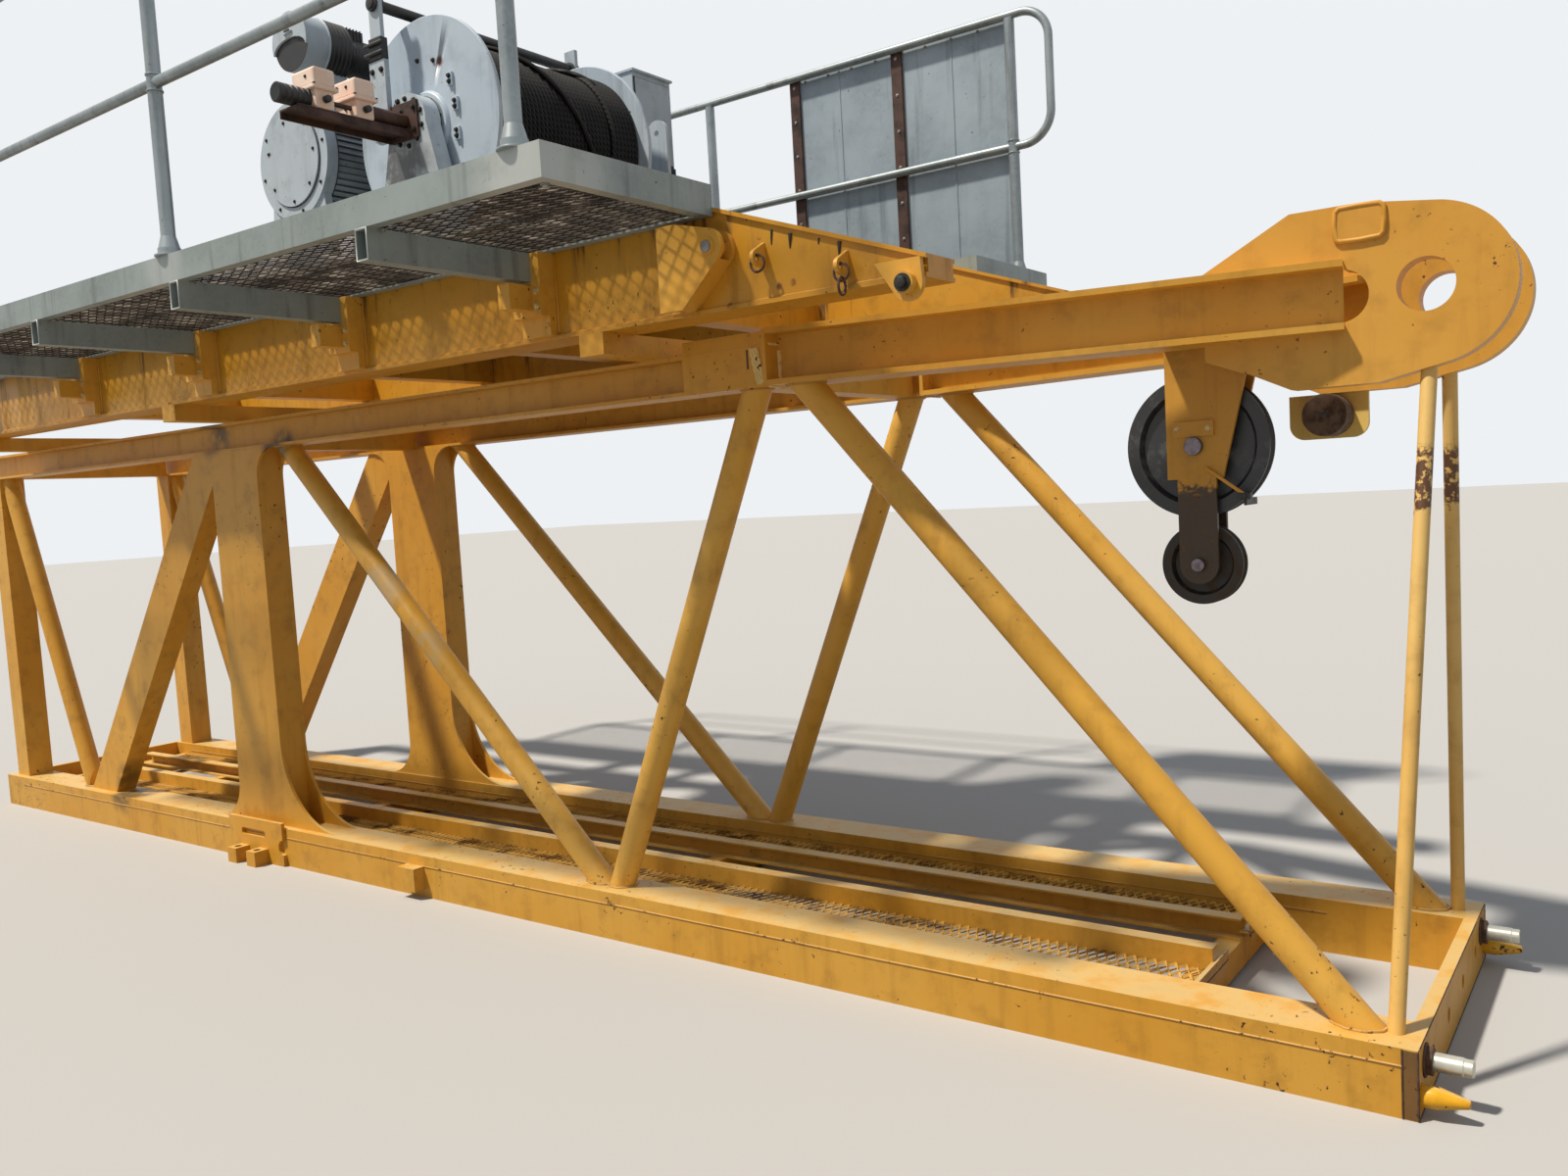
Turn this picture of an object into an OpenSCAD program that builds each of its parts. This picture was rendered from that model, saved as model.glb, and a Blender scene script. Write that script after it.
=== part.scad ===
// Upper section of a tower crane: a box-shaped lattice frame with a pair of
// pendant eyes at its front, and the hoist deck that stands on its top chords.
// Millimetres. X runs along the frame to the front, Y to the far side, Z up.
// Inside the modules X is 0 at the front end of the bottom chords.

/* [Frame] */
// Length of the bottom chords
frame_l = 8600; // [8300:50:9200]
// Width over the bottom chords
frame_w = 1356; // [1300:10:1500]
// Side of the square bottom chords
chord_s = 200; // [180:5:220]
// Height of the underside of the top chords
top_z = 2195; // [2100:5:2300]
// Depth of the top chords
top_h = 150; // [140:2:160]
// Width of the top chords' flanges
top_w = 140; // [130:2:160]
// Thickness of the top chords' flanges
top_flange_t = 14; // [10:1:18]
// Thickness of the top chords' web
top_web_t = 12; // [8:1:16]
// Distance of the side trusses' centre plane from the outside of the chords
side_inset = 113; // [106:1:125]
// Distance of the front top joint from the front
node_d = 2040; // [1900:20:2200]
// Distance of the brace foot behind that joint
foot_d = 3055; // [2950:5:3200]
// Distance of the foot of the front brace
front_foot_d = 130; // [120:5:260]
// Outside diameter of the round braces
tube_d = 108; // [88:2:114]
// Side of the square ties between the top chords
tie_s = 120; // [100:5:140]

/* [Posts] */
// Distance of the plate posts' centre from the front
post_d = 5585; // [5400:20:5800]
// Width of a post's shaft along the frame
post_w = 430; // [380:10:480]
// Thickness of a post
post_t = 150; // [130:2:170]
// Thickness of the flared gusset plates
gusset_t = 16; // [10:1:20]
// Radius of the rear flare at a post's foot
foot_flare_r = 200; // [150:10:260]
// Radius of the front flare at a post's foot
toe_flare_r = 440; // [300:10:500]
// Radius of the flares at a post's head
head_flare_r = 150; // [100:10:200]
// Length of the rear bay, from the rear brace's foot to the rear end
rear_bay = 1230; // [1150:10:1400]
// Depth of the box braces in the side plane
box_brace_h = 240; // [200:10:260]
// Length of the posts at the rear end, along the frame
heel_w = 160; // [120:5:200]

/* [Arms and pendant eyes] */
// Depth of the two front arms
arm_h = 205; // [190:5:220]
// Flange width of the arms
arm_w = 180; // [160:5:190]
// Flange thickness of the arms
arm_flange_t = 20; // [14:1:24]
// Web thickness of the arms
arm_web_t = 14; // [10:1:18]
// Distance of the arms' front ends from the front
arm_end_d = 205; // [190:5:230]
// Distance of the eye plates' centre plane from the middle
eye_y = 190; // [175:1:220]
// Thickness of an eye plate
eye_t = 80; // [60:2:90]
// Reach of the eye bore past the front ends of the chords
eye_reach = 24; // [0:2:60]
// Height of the eye bore's axis
eye_z = 2303; // [2290:1:2320]
// Radius of the eye bore
eye_bore_r = 78; // [60:1:85]
// Radius of the eye plates' round nose
eye_r = 234; // [220:2:250]
// Depth of an eye plate behind its nose
eye_h = 530; // [510:2:560]
// Outside diameter of the thin hanger rods
rod_d = 45; // [34:1:54]
// Length of the patch on each eye plate's outer face
patch_l = 128; // [100:2:140]
// Height of that patch
patch_h = 92; // [80:2:100]
// Thickness of that patch
patch_t = 8; // [4:1:10]

/* [Rope sheaves] */
// Distance of the sheave's axle from the front
sheave_d = 710; // [680:5:760]
// Height of the sheave's axle
sheave_z = 1885; // [1860:5:1930]
// Outside radius of the sheave
sheave_r = 240; // [210:5:255]
// Width of the sheave's rim
sheave_w = 64; // [50:2:70]
// Radius of the sheave's axle
axle_r = 30; // [20:1:36]
// Distance between the sheave's rim and a cheek plate
cheek_gap = 12; // [8:1:20]
// Thickness of a cheek plate
cheek_t = 16; // [12:1:20]
// Height of the lower sheave's axle
tail_z = 1485; // [1460:5:1500]
// Outside radius of the lower sheave
tail_r = 137; // [120:1:145]
// Length of the channel that carries the cheek plates
hanger_l = 320; // [300:5:340]
// Thickness of that channel's plates
hanger_t = 18; // [14:1:22]
// Length of the keeper bar over each axle end
keeper_l = 137; // [110:1:150]
// Depth of the keeper bar
keeper_h = 50; // [40:1:60]

/* [Walkway] */
// Distance from the front to the walkways' front ends
walk_front_d = 700; // [600:20:900]
// Distance of each walkway's inner bar from the middle of the frame
walk_inner_y = 130; // [110:5:160]
// Width of the inner bars
walk_bar_w = 60; // [50:2:70]
// Height of the floor bearers
bearer_h = 100; // [80:5:120]
// Width of the floor bearers
bearer_w = 80; // [60:5:100]
// Thickness of the gratings
grating_t = 12; // [8:1:20]
// Thickness of the end plates across the frame
end_t = 40; // [30:2:50]

/* [Hoist deck] */
// Half the width over the deck girders
girder_y = 960; // [940:5:1000]
// Width of a girder
girder_w = 180; // [160:5:200]
// Depth of a girder
girder_h = 380; // [350:5:400]
// Thickness of the girders' flange plates
girder_flange_t = 14; // [10:1:18]
// Thickness of the packing beams under the girders
packer_h = 80; // [70:2:100]
// Distance of the girders' front tips from the front
girder_front_d = 1200; // [1150:10:1300]
// Distance of the girders' rear ends from the rear end
girder_inset = 600; // [400:10:700]
// Length of the girders' tapered noses
girder_nose_l = 900; // [800:10:1000]
// Height of a nose at its tip
girder_tip_h = 70; // [50:5:100]
// Distance of the platforms' front ends from the front
plat_front_d = 2000; // [1950:10:2100]
// Distance of the platforms' rear ends from the rear end
plat_inset = 900; // [800:10:1000]
// Width of a platform
plat_w = 770; // [700:10:850]
// Depth of the platforms' edge channels
plat_h = 105; // [90:5:120]
// Thickness of the edge channels' plate
plat_t = 6; // [4:1:10]
// Width of the edge channels' flanges
plat_flange = 45; // [35:1:55]
// Distance of the first outrigger from the front
arm1_d = 2850; // [2750:10:2950]
// Pitch of the outriggers
outrigger_p = 1170; // [1100:10:1220]
// Width of an outrigger's square tube
outrigger_w = 62; // [50:2:80]
// Depth of an outrigger's tube
outrigger_h = 105; // [90:5:120]
// Wall of an outrigger's tube
outrigger_t = 6; // [4:1:8]
// Thickness of a socket's walls round its outrigger
socket_t = 44; // [30:1:50]
// Reach of a socket from the girder's face
socket_l = 80; // [60:5:100]
// Height of the handrail above the platforms
rail_h = 1300; // [1100:10:1350]
// Diameter of the rail posts
rail_post_d = 54; // [48:1:60]
// Diameter of the rails
rail_d = 42; // [34:1:48]
// Distance of the first rail post from the platforms' front ends
post_in = 135; // [120:5:160]
// Pitch of the rail posts
post_p = 1950; // [1850:10:2000]
// Reach of the rails' loops past the platforms' front ends
loop_reach = 74; // [60:2:90]
// Bend radius of the rails' loops
loop_r = 150; // [120:5:180]
// Length of the wind board
board_l = 1340; // [1250:10:1400]
// Thickness of the wind board's sheet
board_t = 6; // [4:1:8]
// Width of the bars that hang the sheet on the rails
board_bar_w = 60; // [50:2:70]
// Thickness of those bars
board_bar_t = 12; // [8:1:16]

/* [Hoist winch] */
// Distance of the drum's axis from the front
drum_d = 3750; // [3700:10:3800]
// Height of the drum's axis over the winch's base plate
drum_up = 525; // [500:5:560]
// Radius of the drum's flanges
flange_r = 460; // [440:5:480]
// Radius of the rope wound on the drum
wound_r = 380; // [340:5:400]
// Length over the drum's flanges
drum_l = 930; // [880:10:960]
// Distance of the near flange from the middle
drum_near_y = 690; // [660:10:700]
// Thickness of the drum's flanges
flange_t = 22; // [16:1:30]
// Radius of the drum's shaft
shaft_r = 60; // [50:1:70]
// Radius of the bearing housings
housing_r = 120; // [110:1:130]
// Thickness of the winch pedestals
pedestal_t = 80; // [60:2:90]
// Radius of the hoist motor
motor_r = 270; // [240:5:280]
// Length of the motor between its end faces
motor_l = 500; // [440:10:520]
// Distance of the motor's near face from the middle
motor_near_y = 740; // [700:10:760]
// Distance of the motor's axis from the front
motor_d = 4670; // [4620:10:4740]
// Height of the motor's axis over the winch's base plate
motor_up = 560; // [540:5:580]
// Radius of the blower's cowl
cowl_r = 130; // [115:1:135]
// Width of the gearbox
gear_w = 210; // [180:5:215]
// Distance from the front to the winch's base plate
winch_front_d = 3100; // [3050:10:3200]
// Length of the winch's base plate and skids
winch_l = 2250; // [2150:10:2300]
// Depth of the skids
skid_h = 150; // [140:5:180]
// Width of the skids
skid_w = 140; // [120:2:150]
// Distance of the skids from the middle
skid_y = 560; // [500:10:600]
// Distance from the front to the cabinet's door
cabinet_d = 3710; // [3690:10:3760]
// Length of the cabinet along the frame
cabinet_l = 300; // [260:10:340]
// Width of the cabinet
cabinet_w = 290; // [260:5:295]
// Height of the cabinet
cabinet_h = 1060; // [1000:10:1100]
// Length of a switch box along the frame
box_l = 150; // [130:2:160]
// Width of a switch box
box_w = 98; // [80:1:110]
// Height of a switch box
box_h = 156; // [140:2:170]

/* [Hidden] */
$fn = 48;

crane_yellow = "#d8a63c";
deck_yellow = "#dba41a";
galvanised = "#8d9296";
winch_grey = "#c3d2dc";
rubber_black = "#2a2b2d";

chord_y = frame_w / 2 - chord_s / 2;
inner_y = frame_w / 2 - chord_s;
side_y = frame_w / 2 - side_inset;
top_inner_y = side_y - top_w / 2;
arm_angle = atan((side_y - eye_y) / (node_d - arm_end_d));
arm_top = top_z + arm_h;
slot_r = 78;
slot_end_d = arm_end_d - eye_t / 2 * tan(arm_angle) - 2;
eye_tail = -612;
eye_low = eye_z - 5 - eye_h / 2;
joint_plate_t = 16;
centre_x = (eye_reach + eye_r - frame_l - end_t) / 2;
heel_d = frame_l - heel_w / 2 - end_t;
rear_foot_d = frame_l - rear_bay;
girder_rear_d = frame_l - girder_inset;
plat_rear_d = frame_l - plat_inset;

girder_z = top_z + top_h + packer_h;
web_inset = 12;
web_y = girder_y - web_inset;
girder_top = girder_z + girder_h;
plat_top = girder_top + 40;
plat_z = plat_top - plat_h;
rail_y = girder_y + plat_w - plat_flange / 2 - 10;
outrigger_ds = [for (i = [0:3]) arm1_d + i * outrigger_p];
collar_h = 30;
post_ds = [for (i = [0:2]) plat_front_d + post_in + i * post_p];
rear_post_d = plat_rear_d - 100;
loop_d = plat_front_d - loop_reach;

cross_h = 200;
cross_w = 120;
cross_top = girder_top - 40;
base_plate_t = 20;
base_top = cross_top + skid_h + base_plate_t;
drum_z = base_top + drum_up;
motor_z = base_top + motor_up;
drum_far_y = drum_l - drum_near_y;
pedestal_gap = 25;
pedestal_out = pedestal_gap + pedestal_t;
guard_t = 20;
guard_w = 70;
guard_back = 140;
guard_up = 520;
cover_t = 12;
gear_y = drum_far_y + pedestal_out + guard_t + 1;
running_gap = 0.05;
packer_ds = [2600, post_d, frame_l - 700];

// Where a line from p touches a circle of radius r round c, on side s.
function touch(c, r, p, s) =
    let (d = p - c, a = atan2(d[1], d[0]) + s * acos(r / norm(d))) c + r * [cos(a), sin(a)];

eye_c = [eye_reach, eye_z];
eye_top = eye_low + eye_h;
eye_crest = [eye_reach - 170, eye_top];
eye_keel = [eye_reach - 130, eye_low];
eye_heel = touch(eye_c, eye_r, eye_keel, 1);

// Moves a piece from the frame's own places to the model's, with X 0 in the middle.
module place() translate([-centre_x, 0, 0]) children();

// A piece and its mirror image on the far side.
module pair() {
    children();
    mirror([0, 1, 0]) children();
}

// A box between two corners.
module block(low, high) translate(low) cube(high - low);

// A bar of I section along +X, its centre line at the middle of its depth.
module i_beam(l, h, w, ft, wt) {
    for (s = [0, 1])
        translate([0, -w / 2, s ? h / 2 - ft : -h / 2]) cube([l, w, ft]);
    translate([0, -wt / 2, -h / 2]) cube([l, wt, h]);
}

// A round tube between two points of a side plane, trimmed to a box.
module trimmed_tube(a, b, d, low, high) {
    run = b - a;
    l = norm(run);
    over = d * 1.5;
    intersection() {
        translate(a) rotate([0, acos(run[2] / l), atan2(run[1], run[0])])
            rotate([0, 0, 90]) translate([0, 0, -over]) cylinder(d = d, h = l + 2 * over);
        block(low, high);
    }
}

// A concave fillet of radius r in the corner of +X and +Y.
module flare(r) difference() {
    square([r, r]);
    translate([r, r]) circle(r, $fn = 96);
}

// Bottom chord on the near side.
module bottom_chord() color(crane_yellow)
    block([-frame_l, -frame_w / 2, 0], [0, -inner_y, chord_s]);

// Top chord on the near side, with the plate that ends it at the front joint.
module top_chord() color(crane_yellow) {
    translate([-frame_l, -side_y, top_z + top_h / 2])
        i_beam(frame_l - node_d - joint_plate_t / 2, top_h, top_w, top_flange_t, top_web_t);
    block([-node_d - joint_plate_t, -side_y - arm_w / 2, top_z],
          [-node_d, -side_y + arm_w / 2, arm_top - 4]);
}

// The box that holds the braces of the near side between two distances.
module side_tube(front_d, rear_d, z_front, z_rear, low_d, high_d)
    trimmed_tube([-rear_d, -side_y, z_rear], [-front_d, -side_y, z_front], tube_d,
                 [-high_d, -side_y - tube_d, chord_s], [-low_d, -side_y + tube_d, top_z]);

module front_brace() color(crane_yellow)
    side_tube(front_foot_d, node_d - 110, chord_s, top_z, 0, node_d);

module mid_brace() color(crane_yellow)
    side_tube(node_d + 110, foot_d - 45, top_z, chord_s, node_d, foot_d);

module rear_brace() color(crane_yellow)
    side_tube(foot_d + 65, post_d - post_w / 2 - 190, chord_s, top_z, foot_d, post_d - post_w / 2);

// A square tie from the post's head to the rear foot.
module box_brace() color(crane_yellow) {
    head = [-post_d - post_w / 2 - 80, top_z - 40];
    foot = [-rear_foot_d, chord_s + 30];
    run = head - foot;
    t = post_t - 2 * gusset_t;
    intersection() {
        translate([foot[0], -side_y, foot[1]]) rotate([0, -atan2(run[1], run[0]), 0])
            translate([-box_brace_h, -t / 2, -box_brace_h / 2])
                cube([norm(run) + 2 * box_brace_h, t, box_brace_h]);
        block([-rear_foot_d - box_brace_h, -frame_w, chord_s],
              [-post_d - post_w / 2, 0, top_z]);
    }
}

// Plate post with flared gussets at its foot and head.
module post() color(crane_yellow) {
    h = top_z - chord_s;
    half = post_w / 2;
    translate([-post_d, -side_y, chord_s]) {
        translate([-half, -post_t / 2, 0]) cube([post_w, post_t, h]);
        for (y = [-post_t / 2 + gusset_t, post_t / 2])
            translate([0, y, 0]) rotate([90, 0, 0]) linear_extrude(gusset_t) {
                translate([half, 0]) flare(toe_flare_r);
                translate([-half, 0]) mirror([1, 0]) flare(foot_flare_r);
                translate([half, h]) mirror([0, 1]) flare(head_flare_r);
                translate([-half, h]) mirror([1, 0]) mirror([0, 1]) flare(head_flare_r);
            }
    }
}

module heel_post() color(crane_yellow)
    block([-heel_d - heel_w / 2, -side_y - post_t / 2, chord_s],
          [-heel_d + heel_w / 2, -side_y + post_t / 2, top_z]);

module heel_brace() color(crane_yellow)
    side_tube(rear_foot_d + box_brace_h + 20, heel_d - heel_w / 2, chord_s, top_z - 60,
              rear_foot_d + box_brace_h, heel_d - heel_w / 2);

// Front arm on the near side, running in from the side truss to its eye plate.
module arm() color(crane_yellow) {
    l = norm([node_d - arm_end_d, side_y - eye_y]);
    intersection() {
        translate([-node_d, -side_y, top_z + arm_h / 2]) rotate([0, 0, arm_angle])
            translate([-arm_w, 0, 0]) i_beam(l + arm_w, arm_h, arm_w, arm_flange_t, arm_web_t);
        block([-node_d, -frame_w, 0], [eye_reach, 0, 2 * arm_top]);
    }
}

// Outline of an eye plate, seen from the near side.
module eye_outline() {
    translate(eye_c) circle(eye_r, $fn = 120);
    polygon([
        eye_c, touch(eye_c, eye_r, eye_crest, -1), eye_crest, [-347, eye_top],
        [eye_tail, arm_top + 20], [eye_tail, top_z - 50], [-464, eye_low + 54],
        [-353, eye_low], eye_keel, eye_heel
    ]);
}

// Eye plate on the near side, slotted over its arm.
module eye_plate() color(crane_yellow) {
    difference() {
        translate([0, -eye_y + eye_t / 2, 0]) rotate([90, 0, 0])
            linear_extrude(eye_t) eye_outline();
        block([eye_tail - 1, -2 * eye_y, top_z], [-slot_end_d, 0, arm_top]);
        translate([-arm_end_d, 0, top_z + arm_h / 2]) rotate([90, 0, 0])
            cylinder(r = slot_r, h = 2 * eye_y);
        translate([eye_reach, 0, eye_z]) rotate([90, 0, 0])
            cylinder(r = eye_bore_r, h = 2 * eye_y, $fn = 96);
    }
    translate([eye_crest[0] - 67, -eye_y - eye_t / 2 - patch_t, eye_top - 11 - patch_h])
        cube([patch_l, patch_t + 1, patch_h]);
}

// Thin rod from the eye plate down to the chord's front end.
module hanger_rod() color(crane_yellow) {
    foot = [-30, -chord_y, chord_s];
    head = [eye_reach, -eye_y, eye_z - eye_r];
    intersection() {
        trimmed_tube(foot, head, rod_d, [-200, -frame_w, chord_s], [200, 0, eye_z]);
        rotate([90, 0, 0]) linear_extrude(frame_w)
            polygon([eye_keel, [eye_keel[0], chord_s], [eye_heel[0], chord_s], eye_heel]);
    }
}

// Square ties across the frame between the top chords.
module top_ties() color(crane_yellow)
    for (d = [node_d + tie_s, post_d, heel_d])
        block([-d - tie_s / 2, -top_inner_y, top_z], [-d + tie_s / 2, top_inner_y, top_z + tie_s]);

// Plate across the front ends of the chords, with its four holes.
module front_end_plate() color(crane_yellow)
    difference() {
        block([0, -frame_w / 2, 0], [end_t, frame_w / 2, chord_s]);
        for (y = [-1, 1]) for (dy = [40, 330])
            translate([-1, y * (inner_y - dy), chord_s / 2]) rotate([0, 90, 0])
                cylinder(r = 24, h = end_t + 2);
    }

module rear_end_plate() color(crane_yellow)
    block([-frame_l - end_t, -frame_w / 2, 0], [-frame_l, frame_w / 2, chord_s]);

// Cone pin and round stub on the front end plate, on each side.
module guide_pins() color(galvanised)
    pair() {
        translate([end_t, -frame_w / 2 + 40, 62]) rotate([0, 90, 0]) {
            cylinder(r = 30, h = 40);
            translate([0, 0, 40]) cylinder(r1 = 30, r2 = 12, h = 80);
        }
        translate([end_t, -frame_w / 2 + 110, 132]) rotate([0, 90, 0]) {
            cylinder(r = 40, h = 14);
            cylinder(r = 26, h = 120);
        }
    }

// Slotted bracket with two square eyes, and a square stub, on each bottom chord.
module side_brackets() color(crane_yellow)
    pair() {
        t = 20;
        slot = 36;
        eye_s = 80;
        y = -frame_w / 2;
        difference() {
            block([-post_d - 250, y - t, 0], [-post_d + 250, y, chord_s + 30]);
            hull() for (x = [-1, 1])
                translate([-post_d - 20 + x * 95, y - t - 1, chord_s - 45]) rotate([-90, 0, 0])
                    cylinder(d = slot, h = t + 2);
            translate([-post_d + 250, y - t - 1, chord_s / 2]) rotate([-90, 0, 0])
                cylinder(r = 40, h = t + 2);
        }
        for (x = [-150, 30]) difference() {
            block([-post_d + x, y - t - eye_s, 0], [-post_d + x + eye_s, y - t, eye_s]);
            translate([-post_d + x + eye_s / 2, y - t - eye_s / 2, -1]) cylinder(r = 20, h = eye_s + 2);
        }
        block([-post_d + 1270, y - 60, 40], [-post_d + 1390, y, 150]);
    }

// Cross beams of the floor, between the bottom chords.
module floor_bearers() color(crane_yellow)
    for (d = [walk_front_d, foot_d, post_d, rear_foot_d, heel_d])
        block([-d - bearer_w / 2, -inner_y, 20], [-d + bearer_w / 2, inner_y, 20 + bearer_h]);

walk_rear_d = heel_d - bearer_w;

module walkway_bars() color(crane_yellow)
    pair() difference() {
        block([-walk_rear_d, -walk_inner_y - walk_bar_w, 20 + bearer_h],
              [-walk_front_d + bearer_w / 2, -walk_inner_y, chord_s]);
        block([-walk_rear_d - 1, -walk_inner_y - walk_bar_w + 8, 20 + bearer_h + 8],
              [-walk_front_d + bearer_w, -walk_inner_y + 1, chord_s - 8]);
    }

module walkway_gratings() color(crane_yellow)
    pair() block([-walk_rear_d, -inner_y, 20 + bearer_h],
                 [-walk_front_d + bearer_w / 2, -walk_inner_y - walk_bar_w, 20 + bearer_h + grating_t]);

cheek_y = sheave_w / 2 + cheek_gap;
cheek_out = cheek_y + cheek_t;
cheek_foot_z = sheave_z - 109;
hanger_z = top_z + arm_flange_t;

// Distance of an arm's web from the middle, at distance d from the front.
function arm_web_y(d) = side_y - (node_d - d) * tan(arm_angle) - arm_web_t / 2 / cos(arm_angle);

// A plate across between the arms' webs, from distance d0 back to d1.
module web_to_web(d0, d1, t) linear_extrude(t)
    polygon([
        [-d0, -arm_web_y(d0)], [-d0, arm_web_y(d0)],
        [-d1, arm_web_y(d1)], [-d1, -arm_web_y(d1)]
    ]);

// Channel between the arms, with the cheek plates of both sheaves below it.
module sheave_hanger() color(crane_yellow) {
    rear = sheave_d + 93;
    front = rear - hanger_l + 27;
    translate([0, 0, hanger_z]) {
        web_to_web(front, rear, hanger_t);
        web_to_web(front, front + hanger_t, arm_h - 2 * arm_flange_t);
        web_to_web(rear - hanger_t, rear, arm_h - 2 * arm_flange_t);
    }
    pair() {
        rotate([90, 0, 0]) translate([0, 0, cheek_y]) linear_extrude(cheek_t) difference() {
            polygon([
                [-rear, hanger_z + 1], [-front, hanger_z + 1],
                [-sheave_d + 93, cheek_foot_z], [-rear, cheek_foot_z]
            ]);
            translate([-sheave_d, sheave_z]) circle(axle_r + running_gap);
        }
        rotate([90, 0, 0]) translate([0, 0, cheek_y]) linear_extrude(cheek_t) difference() {
            union() {
                translate([-sheave_d - 60, tail_z]) square([130, cheek_foot_z - tail_z]);
                translate([-sheave_d + 5, tail_z]) circle(65);
            }
            translate([-sheave_d + 5, tail_z]) circle(axle_r - 8 + running_gap);
        }
        block([-sheave_d - keeper_l / 2, -cheek_out - 10, sheave_z + axle_r + 3],
              [-sheave_d + keeper_l / 2, -cheek_out + 1, sheave_z + axle_r + 3 + keeper_h]);
    }
}

// Section of a grooved sheave, from its axle out to its rim.
module sheave_section(r, w, axle, hub, groove)
    difference() {
        polygon([
            [0, -w / 2], [hub, -w / 2], [hub, -w / 6], [r - groove * 1.7, -w / 6],
            [r - groove * 1.3, -w / 2], [r, -w / 2], [r, w / 2], [r - groove * 1.3, w / 2],
            [r - groove * 1.7, w / 6], [hub, w / 6], [hub, w / 2], [0, w / 2]
        ]);
        translate([r + groove * 0.1, 0]) circle(groove * 0.75);
    }

// A sheave with its axle, turning about Y.
module sheave(r, w, axle, hub, groove) rotate([90, 0, 0]) {
    rotate_extrude($fn = 96) sheave_section(r, w, axle, hub, groove);
    translate([0, 0, -cheek_out - 18]) cylinder(r = axle, h = 2 * (cheek_out + 18));
}

module rope_sheave() color(rubber_black)
    translate([-sheave_d, 0, sheave_z]) sheave(sheave_r, sheave_w, axle_r, 70, 32);

module tail_sheave() color(rubber_black)
    translate([-sheave_d + 5, 0, tail_z]) sheave(tail_r, sheave_w - 10, axle_r - 8, 46, 24);

// Lug under the far eye plate with a pendant pin stored in it.
module stored_pin() {
    pin_r = 68;
    pin_l = 190;
    lug_t = 20;
    lug_x = [-460, -213];
    lug_low = eye_low - 148;
    corner = 50;
    color(crane_yellow) translate([0, eye_y + lug_t / 2, 0]) rotate([90, 0, 0])
        linear_extrude(lug_t) difference() {
            union() {
                for (x = [lug_x[0] + corner, lug_x[1] - corner])
                    translate([x, lug_low + corner]) circle(corner);
                translate([lug_x[0] + corner, lug_low])
                    square([lug_x[1] - lug_x[0] - 2 * corner, eye_top - lug_low]);
                translate([lug_x[0], lug_low + corner])
                    square([lug_x[1] - lug_x[0], eye_top - lug_low - corner]);
            }
            eye_outline();
            translate([lug_x[0] - 1, eye_low]) square([2 * (lug_x[1] - lug_x[0]), eye_h]);
        }
    color(winch_grey) translate([-325, eye_y + pin_l / 2 - 30, eye_low - pin_r - 4]) rotate([90, 0, 0])
        cylinder(r = pin_r, h = pin_l);
}

// Packing beams on the top chords, which carry the deck.
module packing_beams() color(crane_yellow)
    for (d = packer_ds)
        block([-d - 60, -girder_y, girder_z - packer_h], [-d + 60, girder_y, girder_z]);

// Deck girder on the near side: a box with flange plates and a tapered nose.
module girder() color(deck_yellow) {
    base = [
        [-girder_rear_d, girder_z], [-girder_front_d, girder_z],
        [-girder_front_d, girder_z + girder_tip_h],
        [-girder_front_d - girder_nose_l, girder_top], [-girder_rear_d, girder_top]
    ];
    translate([0, -girder_y + girder_w - web_inset, 0]) rotate([90, 0, 0])
        linear_extrude(girder_w - 2 * web_inset) polygon(base);
    translate([0, -girder_y + girder_w, 0]) rotate([90, 0, 0]) linear_extrude(girder_w) {
        translate([-girder_rear_d, girder_z]) square([girder_rear_d - girder_front_d, girder_flange_t]);
        polygon([
            base[2], base[3], base[4], base[4] - [0, girder_flange_t],
            base[3] - [0, girder_flange_t], base[2] - [0, girder_flange_t]
        ]);
    }
}

// Beams between the girders, under the winch and at the ends.
module deck_cross_beams() color(deck_yellow)
    for (d = concat(outrigger_ds, [girder_rear_d - cross_w / 2]))
        block([-d - cross_w / 2, -web_y + girder_w - 2 * web_inset, cross_top - cross_h],
              [-d + cross_w / 2, web_y - girder_w + 2 * web_inset, cross_top]);

// Two rounded hook plates on the near girder, with a boss and a back plate between them.
module girder_hook() {
    nose = [-1980, girder_z + 205];
    nose_r = 60;
    foot = [-2100, girder_z + girder_flange_t];
    head = [-2120, plat_z - 15];
    back = -2200;
    plate = 16;
    gap = 46;
    low = touch(nose, nose_r, foot, 1);
    rotate([90, 0, 0]) translate([0, 0, web_y]) {
        for (y = [0, plate + gap]) translate([0, 0, y]) linear_extrude(plate) {
            translate(nose) circle(nose_r);
            polygon([
                nose, touch(nose, nose_r, head, -1), head, [back, head[1]],
                [back, foot[1]], foot, low
            ]);
        }
        translate([nose[0], nose[1], 0]) cylinder(r = nose_r / 2, h = 2 * plate + gap + 6);
        linear_extrude(plate + gap + 1) polygon([foot, low, low - [24, 0], foot - [24, 0]]);
    }
}

// Lifting lug on the near girder: a rounded plate with a hole, standing out from the girder.
module lifting_lug(d, z) {
    eye = [46, -8];
    translate([-d, -web_y, z]) rotate([90, 0, -90]) linear_extrude(14) difference() {
        union() {
            translate(eye) circle(24);
            polygon([[0, -44], touch(eye, 24, [0, -44], 1), eye, touch(eye, 24, [0, 44], -1), [0, 44]]);
        }
        translate(eye) circle(11);
    }
}

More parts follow.
